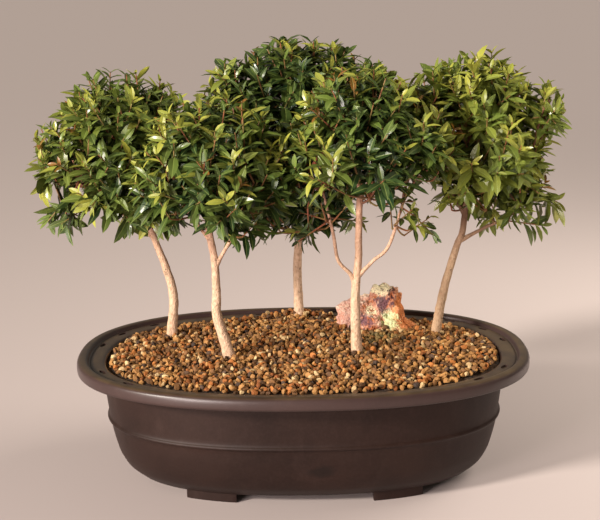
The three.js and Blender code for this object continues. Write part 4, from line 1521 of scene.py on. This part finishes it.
    def flush_of(self, layer: ShootLayer, facing: Points, is_low: bool, draw: Draw) -> Flush:
        """Draws how young a shoot's last leaves are: fresh ones are commoner on top and at the left, partly
        as new growth and partly as painted light from the left.
        """
        lot = draw.uniform()
        is_sunny = facing[2] > self.sunny_up or abs(facing[0]) > self.sunny_side
        share = self.fresh_sunny if is_sunny else self.fresh_shady
        # Leaves at the left turn fresh more often: painted light from the left.
        if facing[0] < -self.sunny_side:
            share = self.fresh_left_painted_light
        if layer.is_outer and lot < share + self.fresh_by_light * self.planting.light:
            return Flush.FRESH
        bronze_over = self.bronze_sunny if is_sunny else self.bronze_shady
        is_bronze = layer.is_outer and not is_low and lot > bronze_over
        return Flush.BRONZE if is_bronze else Flush.MATURE

    def leaf_out(self, shoot: Shoot, draw: Draw) -> list[tuple]:
        """Sets one shoot's pairs of leaves, each pair turned crosswise to the last.

        Args:
            shoot: The shoot.
            draw: The random source.

        Returns:
            A row for each leaf: its root, its direction, which way it faces up, its length, how
            young it is and how light.
        """
        axis, pairs, leaves = shoot.axis, len(self.pair_sizes), []
        side = unit(np.cross(axis, unit(draw.normal(size=3))))
        hang = self.low_hang if shoot.is_low else 0.0
        low_leaf = self.planting.low_leaf if shoot.is_low else 1.0
        for pair in range(self.low_bare_pairs if shoot.is_low else 0, pairs):
            share = (pair + self.first_pair) / pairs
            root = shoot.root + (shoot.tip - shoot.root) * share
            turn = pair * math.pi / 2 + draw.normal(0, self.pair_swing)
            ray = side * math.cos(turn) + np.cross(axis, side) * math.sin(turn)
            lean = 1.0 - self.closing * (pair / pairs) ** 2
            youth = self.pair_youth[pair]
            is_bronze = shoot.kind is Flush.BRONZE and youth == 1.0
            size = self.pair_sizes[pair] * low_leaf * (self.bronze_leaf if is_bronze else 1.0)
            for facing in (-1, 1):
                opened = lean * draw.uniform(*self.opening)
                way = axis * math.cos(opened) + facing * ray * math.sin(opened) - UP * hang
                along = unit(way + draw.normal(0, self.leaf_astray, 3))
                upper = axis + UP * self.upper_rise + draw.normal(0, self.upper_astray, 3)
                upper = unit(upper - along * (upper @ along))
                length = draw.uniform(*self.leaf_length) * size
                young = shoot.kind.value * youth * draw.uniform(0.55, 1.0)
                # A tree's light pushes its leaves towards the fresh colour: painted light.
                young += self.sunned * max(0.0, self.planting.light) * draw.uniform()
                flush = shoot.kind.value if is_bronze else min(young, Flush.FRESH.value)
                leaves.append((root, along, upper, length, flush, shoot.painted_lightness))
        return leaves

    def leaves(self, rows: list[tuple], draw: Draw) -> Piece:
        """Models the leaves as bent copies of one leaf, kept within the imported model's box."""
        model, faces = self.leaf_model()
        root, along, upper, length, flush, painted_lightness = (np.array(column) for column in zip(*rows))
        length = length[:, None]
        breadth = length * self.leaf_breadth * draw.uniform(*self.leaf_breadths, length.shape)
        droop = draw.uniform(*self.droop, length.shape)
        turn = draw.normal(0, self.twist, length.shape) * model[:, 1]
        x, y, z = model[:, 0] * breadth, model[:, 1] * length, model[:, 2] * breadth
        x, z = x * np.cos(turn) - z * np.sin(turn), x * np.sin(turn) + z * np.cos(turn)
        z = z - droop * length * model[:, 1] ** 2
        points = root[:, None]
        for offset, axis in ((x, np.cross(along, upper)), (y, along), (z, upper)):
            points = points + offset[..., None] * axis[:, None]
        low, high = (np.array(corner) / MM for corner in cad_box)
        kept = ((points > low + self.box_gap) & (points < high - self.box_gap)).all((1, 2))
        middle = points.mean(1)
        kept &= self.planting.into_next(middle) < self.reach_into_next + self.leaf_over
        kept &= ~self.planting.is_bare(middle)
        crown = Workbench.copies(f"crown_{self.planting.number}_leaves", points[kept], faces)
        count = int(kept.sum())
        beyond = (root[kept] - self.planting.lobe_rows()[:, :3].mean(0)) / self.tint_reach
        # Higher leaves, those further to the sides and those of lighter trees get a lighter tint: painted
        # light.
        sun = self.painted_light_high * beyond[:, 2] + self.painted_light_side * (np.abs(beyond[:, 0]) - 0.5)
        # Inner-layer leaves are darkened, partly as older leaves and partly as painted shade.
        tint = (draw.beta(*self.tint_shape, count) + (sun + self.planting.light)) * painted_lightness[kept]
        Workbench.mark(crown, "tint", np.clip(tint, 0, 1))
        Workbench.mark(crown, "flush", flush[kept])
        leaf_map = (model[:, :2] + [0.5, 0.0])[faces.ravel()]
        layer = crown.data.uv_layers.new(name="leaf")
        layer.uv.foreach_set("vector", np.tile(leaf_map, (count, 1)).astype(np.float32).ravel())
        is_under = (model[faces][:, :, 2] < 0).any(1)
        crown.data.polygons.foreach_set("material_index", np.tile(is_under.astype(np.int32), count))
        Workbench.smooth(crown, 24)
        return crown

    def build(self, twig: Material, leaf: list[Material], joints: Points, draw: Draw) -> None:
        """Models the twigs and the leaves.

        Args:
            twig: The twigs' finish.
            leaf: The finishes of a leaf's upper side and underside.
            joints: The places that shoots may grow from.
            draw: The random source.
        """
        number = self.planting.number
        twig_rows, leaf_rows = self.grow(draw, joints)
        hub, root, tip = (np.array(column) for column in zip(*twig_rows))
        span = np.linalg.norm(root - hub, axis=1)[:, None]
        way = unit(0.5 * unit(tip - root) + (root - hub) / (span + 1e-6))
        feet = np.stack([hub, root - way * self.foot_pull * span, root + (tip - root) * 0.02])
        shafts = np.stack([root, (root + tip) / 2, tip])
        slim = np.full(len(hub), self.twig_radius)
        middle, last = (slim * share for share in self.twig_taper)
        radii = np.stack([np.concatenate([slim, middle]), np.concatenate([middle, last])])
        shape = (self.twig_sides, self.twig_rings)
        twigs = Workbench.rods(f"crown_{number}_twigs", *shape, np.concatenate([feet, shafts], 1), radii)
        Workbench.smooth(twigs, 60)
        Workbench.dress(twigs, Slot.BARK, [twig])
        Workbench.dress(self.leaves(leaf_rows, draw), Slot.FOLIAGE, leaf, f"crown_{number}")


@dataclass
class Studio:
    """The floor, the lights and the camera at the photograph's viewing angle."""

    floor_size: float = 60.0
    camera_place: Triple = (-0.0015, -1.172007, 0.437682)
    elevation: float = 12.4
    roll: float = 0.8
    lens: float = 85.92
    sensor: float = 36.0
    farthest: float = 50.0
    sun_from: Triple = (-0.73, -0.54, 0.39)
    sun_strength: float = 4.6
    sun_softness: float = 9.0
    lamp_aim: Triple = (0.0, 0.0, 0.18)
    warm: Triple = (1.0, 0.92, 0.82)
    rosy: Triple = (1.0, 0.87, 0.84)
    room: Colour = colour(1.0, 0.9, 0.79)
    room_strength: float = 0.21

    def build(self, effects: Effects) -> None:
        """Sets up everything that isn't part of the object."""
        Workbench.clear()
        bpy.ops.mesh.primitive_plane_add(size=self.floor_size)
        floor = bpy.context.object
        floor.name = "floor"
        floor.data.materials.append(FloorFinish().build(effects))
        self.camera()
        sun = self.lamp("key", "SUN", Vector(self.sun_from), self.sun_strength, self.warm)
        sun.data.angle = math.radians(self.sun_softness)
        self.softbox("sheen", (-0.8, -1.2, 0.3), 0.4, 18.0, self.rosy, True)
        self.softbox("fill", (0.9, 0.3, 0.75), 0.8, 12.0, self.warm, False)
        world = bpy.data.worlds.new("soft room")
        world.use_nodes = True
        sky = world.node_tree.nodes["Background"]
        sky.inputs["Color"].default_value = self.room
        sky.inputs["Strength"].default_value = self.room_strength
        bpy.context.scene.world = world
        bpy.context.scene.view_settings.view_transform = "Standard"

    def camera(self) -> None:
        """Adds the camera."""
        e, r = math.radians(self.elevation), math.radians(self.roll)
        back = Vector((0, -math.cos(e), math.sin(e)))
        flat = Vector((1, 0, 0))
        high = flat.cross(-back)
        right = flat * math.cos(r) - high * math.sin(r)
        top = flat * math.sin(r) + high * math.cos(r)
        data = bpy.data.cameras.new("camera")
        data.lens = self.lens
        data.sensor_width = self.sensor
        data.clip_end = self.farthest
        camera = bpy.data.objects.new("camera", data)
        turn = Matrix((right, top, back)).transposed().to_4x4()
        camera.matrix_world = Matrix.Translation(self.camera_place) @ turn
        bpy.context.scene.collection.objects.link(camera)
        bpy.context.scene.camera = camera

    @staticmethod
    def lamp(name: str, kind: str, towards: Vector, energy: float, shade: Triple) -> Piece:
        """Adds a lamp.

        Args:
            name: Its name.
            kind: The lamp's type name.
            towards: The way from what it lights towards the lamp.
            energy: Its strength, or its power in watts.
            shade: Its colour.

        Returns:
            The lamp's holder.
        """
        data = bpy.data.lights.new(name, kind)
        data.energy = energy
        data.color = shade
        holder = bpy.data.objects.new(name, data)
        holder.rotation_euler = towards.to_track_quat("Z", "Y").to_euler()
        bpy.context.scene.collection.objects.link(holder)
        return holder

    def softbox(
        self, name: str, place: Triple, size: float, watts: float, shade: Triple, is_mirrored: bool
    ) -> None:
        """Adds a soft square lamp aimed at the trees, which may show in what is glossy."""
        holder = self.lamp(name, "AREA", Vector(place) - Vector(self.lamp_aim), watts, shade)
        holder.data.size = size
        holder.location = place
        holder.visible_camera = False
        holder.visible_glossy = is_mirrored


def main() -> None:
    """Builds the studio and the object's pieces in order."""
    logging.basicConfig(level=logging.INFO, format="%(message)s")
    effects = Effects()
    Studio().build(effects)
    Pot().build(PotFinish().build(effects))
    earth = EarthFinish().build(effects)
    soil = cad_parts["soil"]
    soil.data.materials.clear()
    soil.data.materials.append(earth)
    Gravel().build(earth, effects)
    Stone().build(StoneFinish().build(effects))
    bark = BarkFinish().build(effects)
    # Tree 5's bark is painted darker, most near its crown, as painted shade from the crowns over it.
    bark_painted_shade = BarkFinish(
        "dark-topped bark", cream=colour(0.57, 0.39, 0.23), pink=colour(0.17, 0.07, 0.045), pink_from=0.165,
        pink_to=0.205,
    ).build(effects)
    twig = TwigFinish().build(effects)
    under = LeafFinish("leaf underside", gloss=(0.5, 0.65), coat=0.0, pale=0.3)
    leaf = [LeafFinish().build(effects), under.build(effects)]
    for planting in PLANTINGS:
        draw = np.random.default_rng(planting.seed)
        joints = Wood(planting).build(bark_painted_shade if planting.number == PAINTED_SHADE_TREE else bark, draw)
        Crown(planting).build(twig, leaf, joints, draw)


if __name__ == "__main__":
    main()
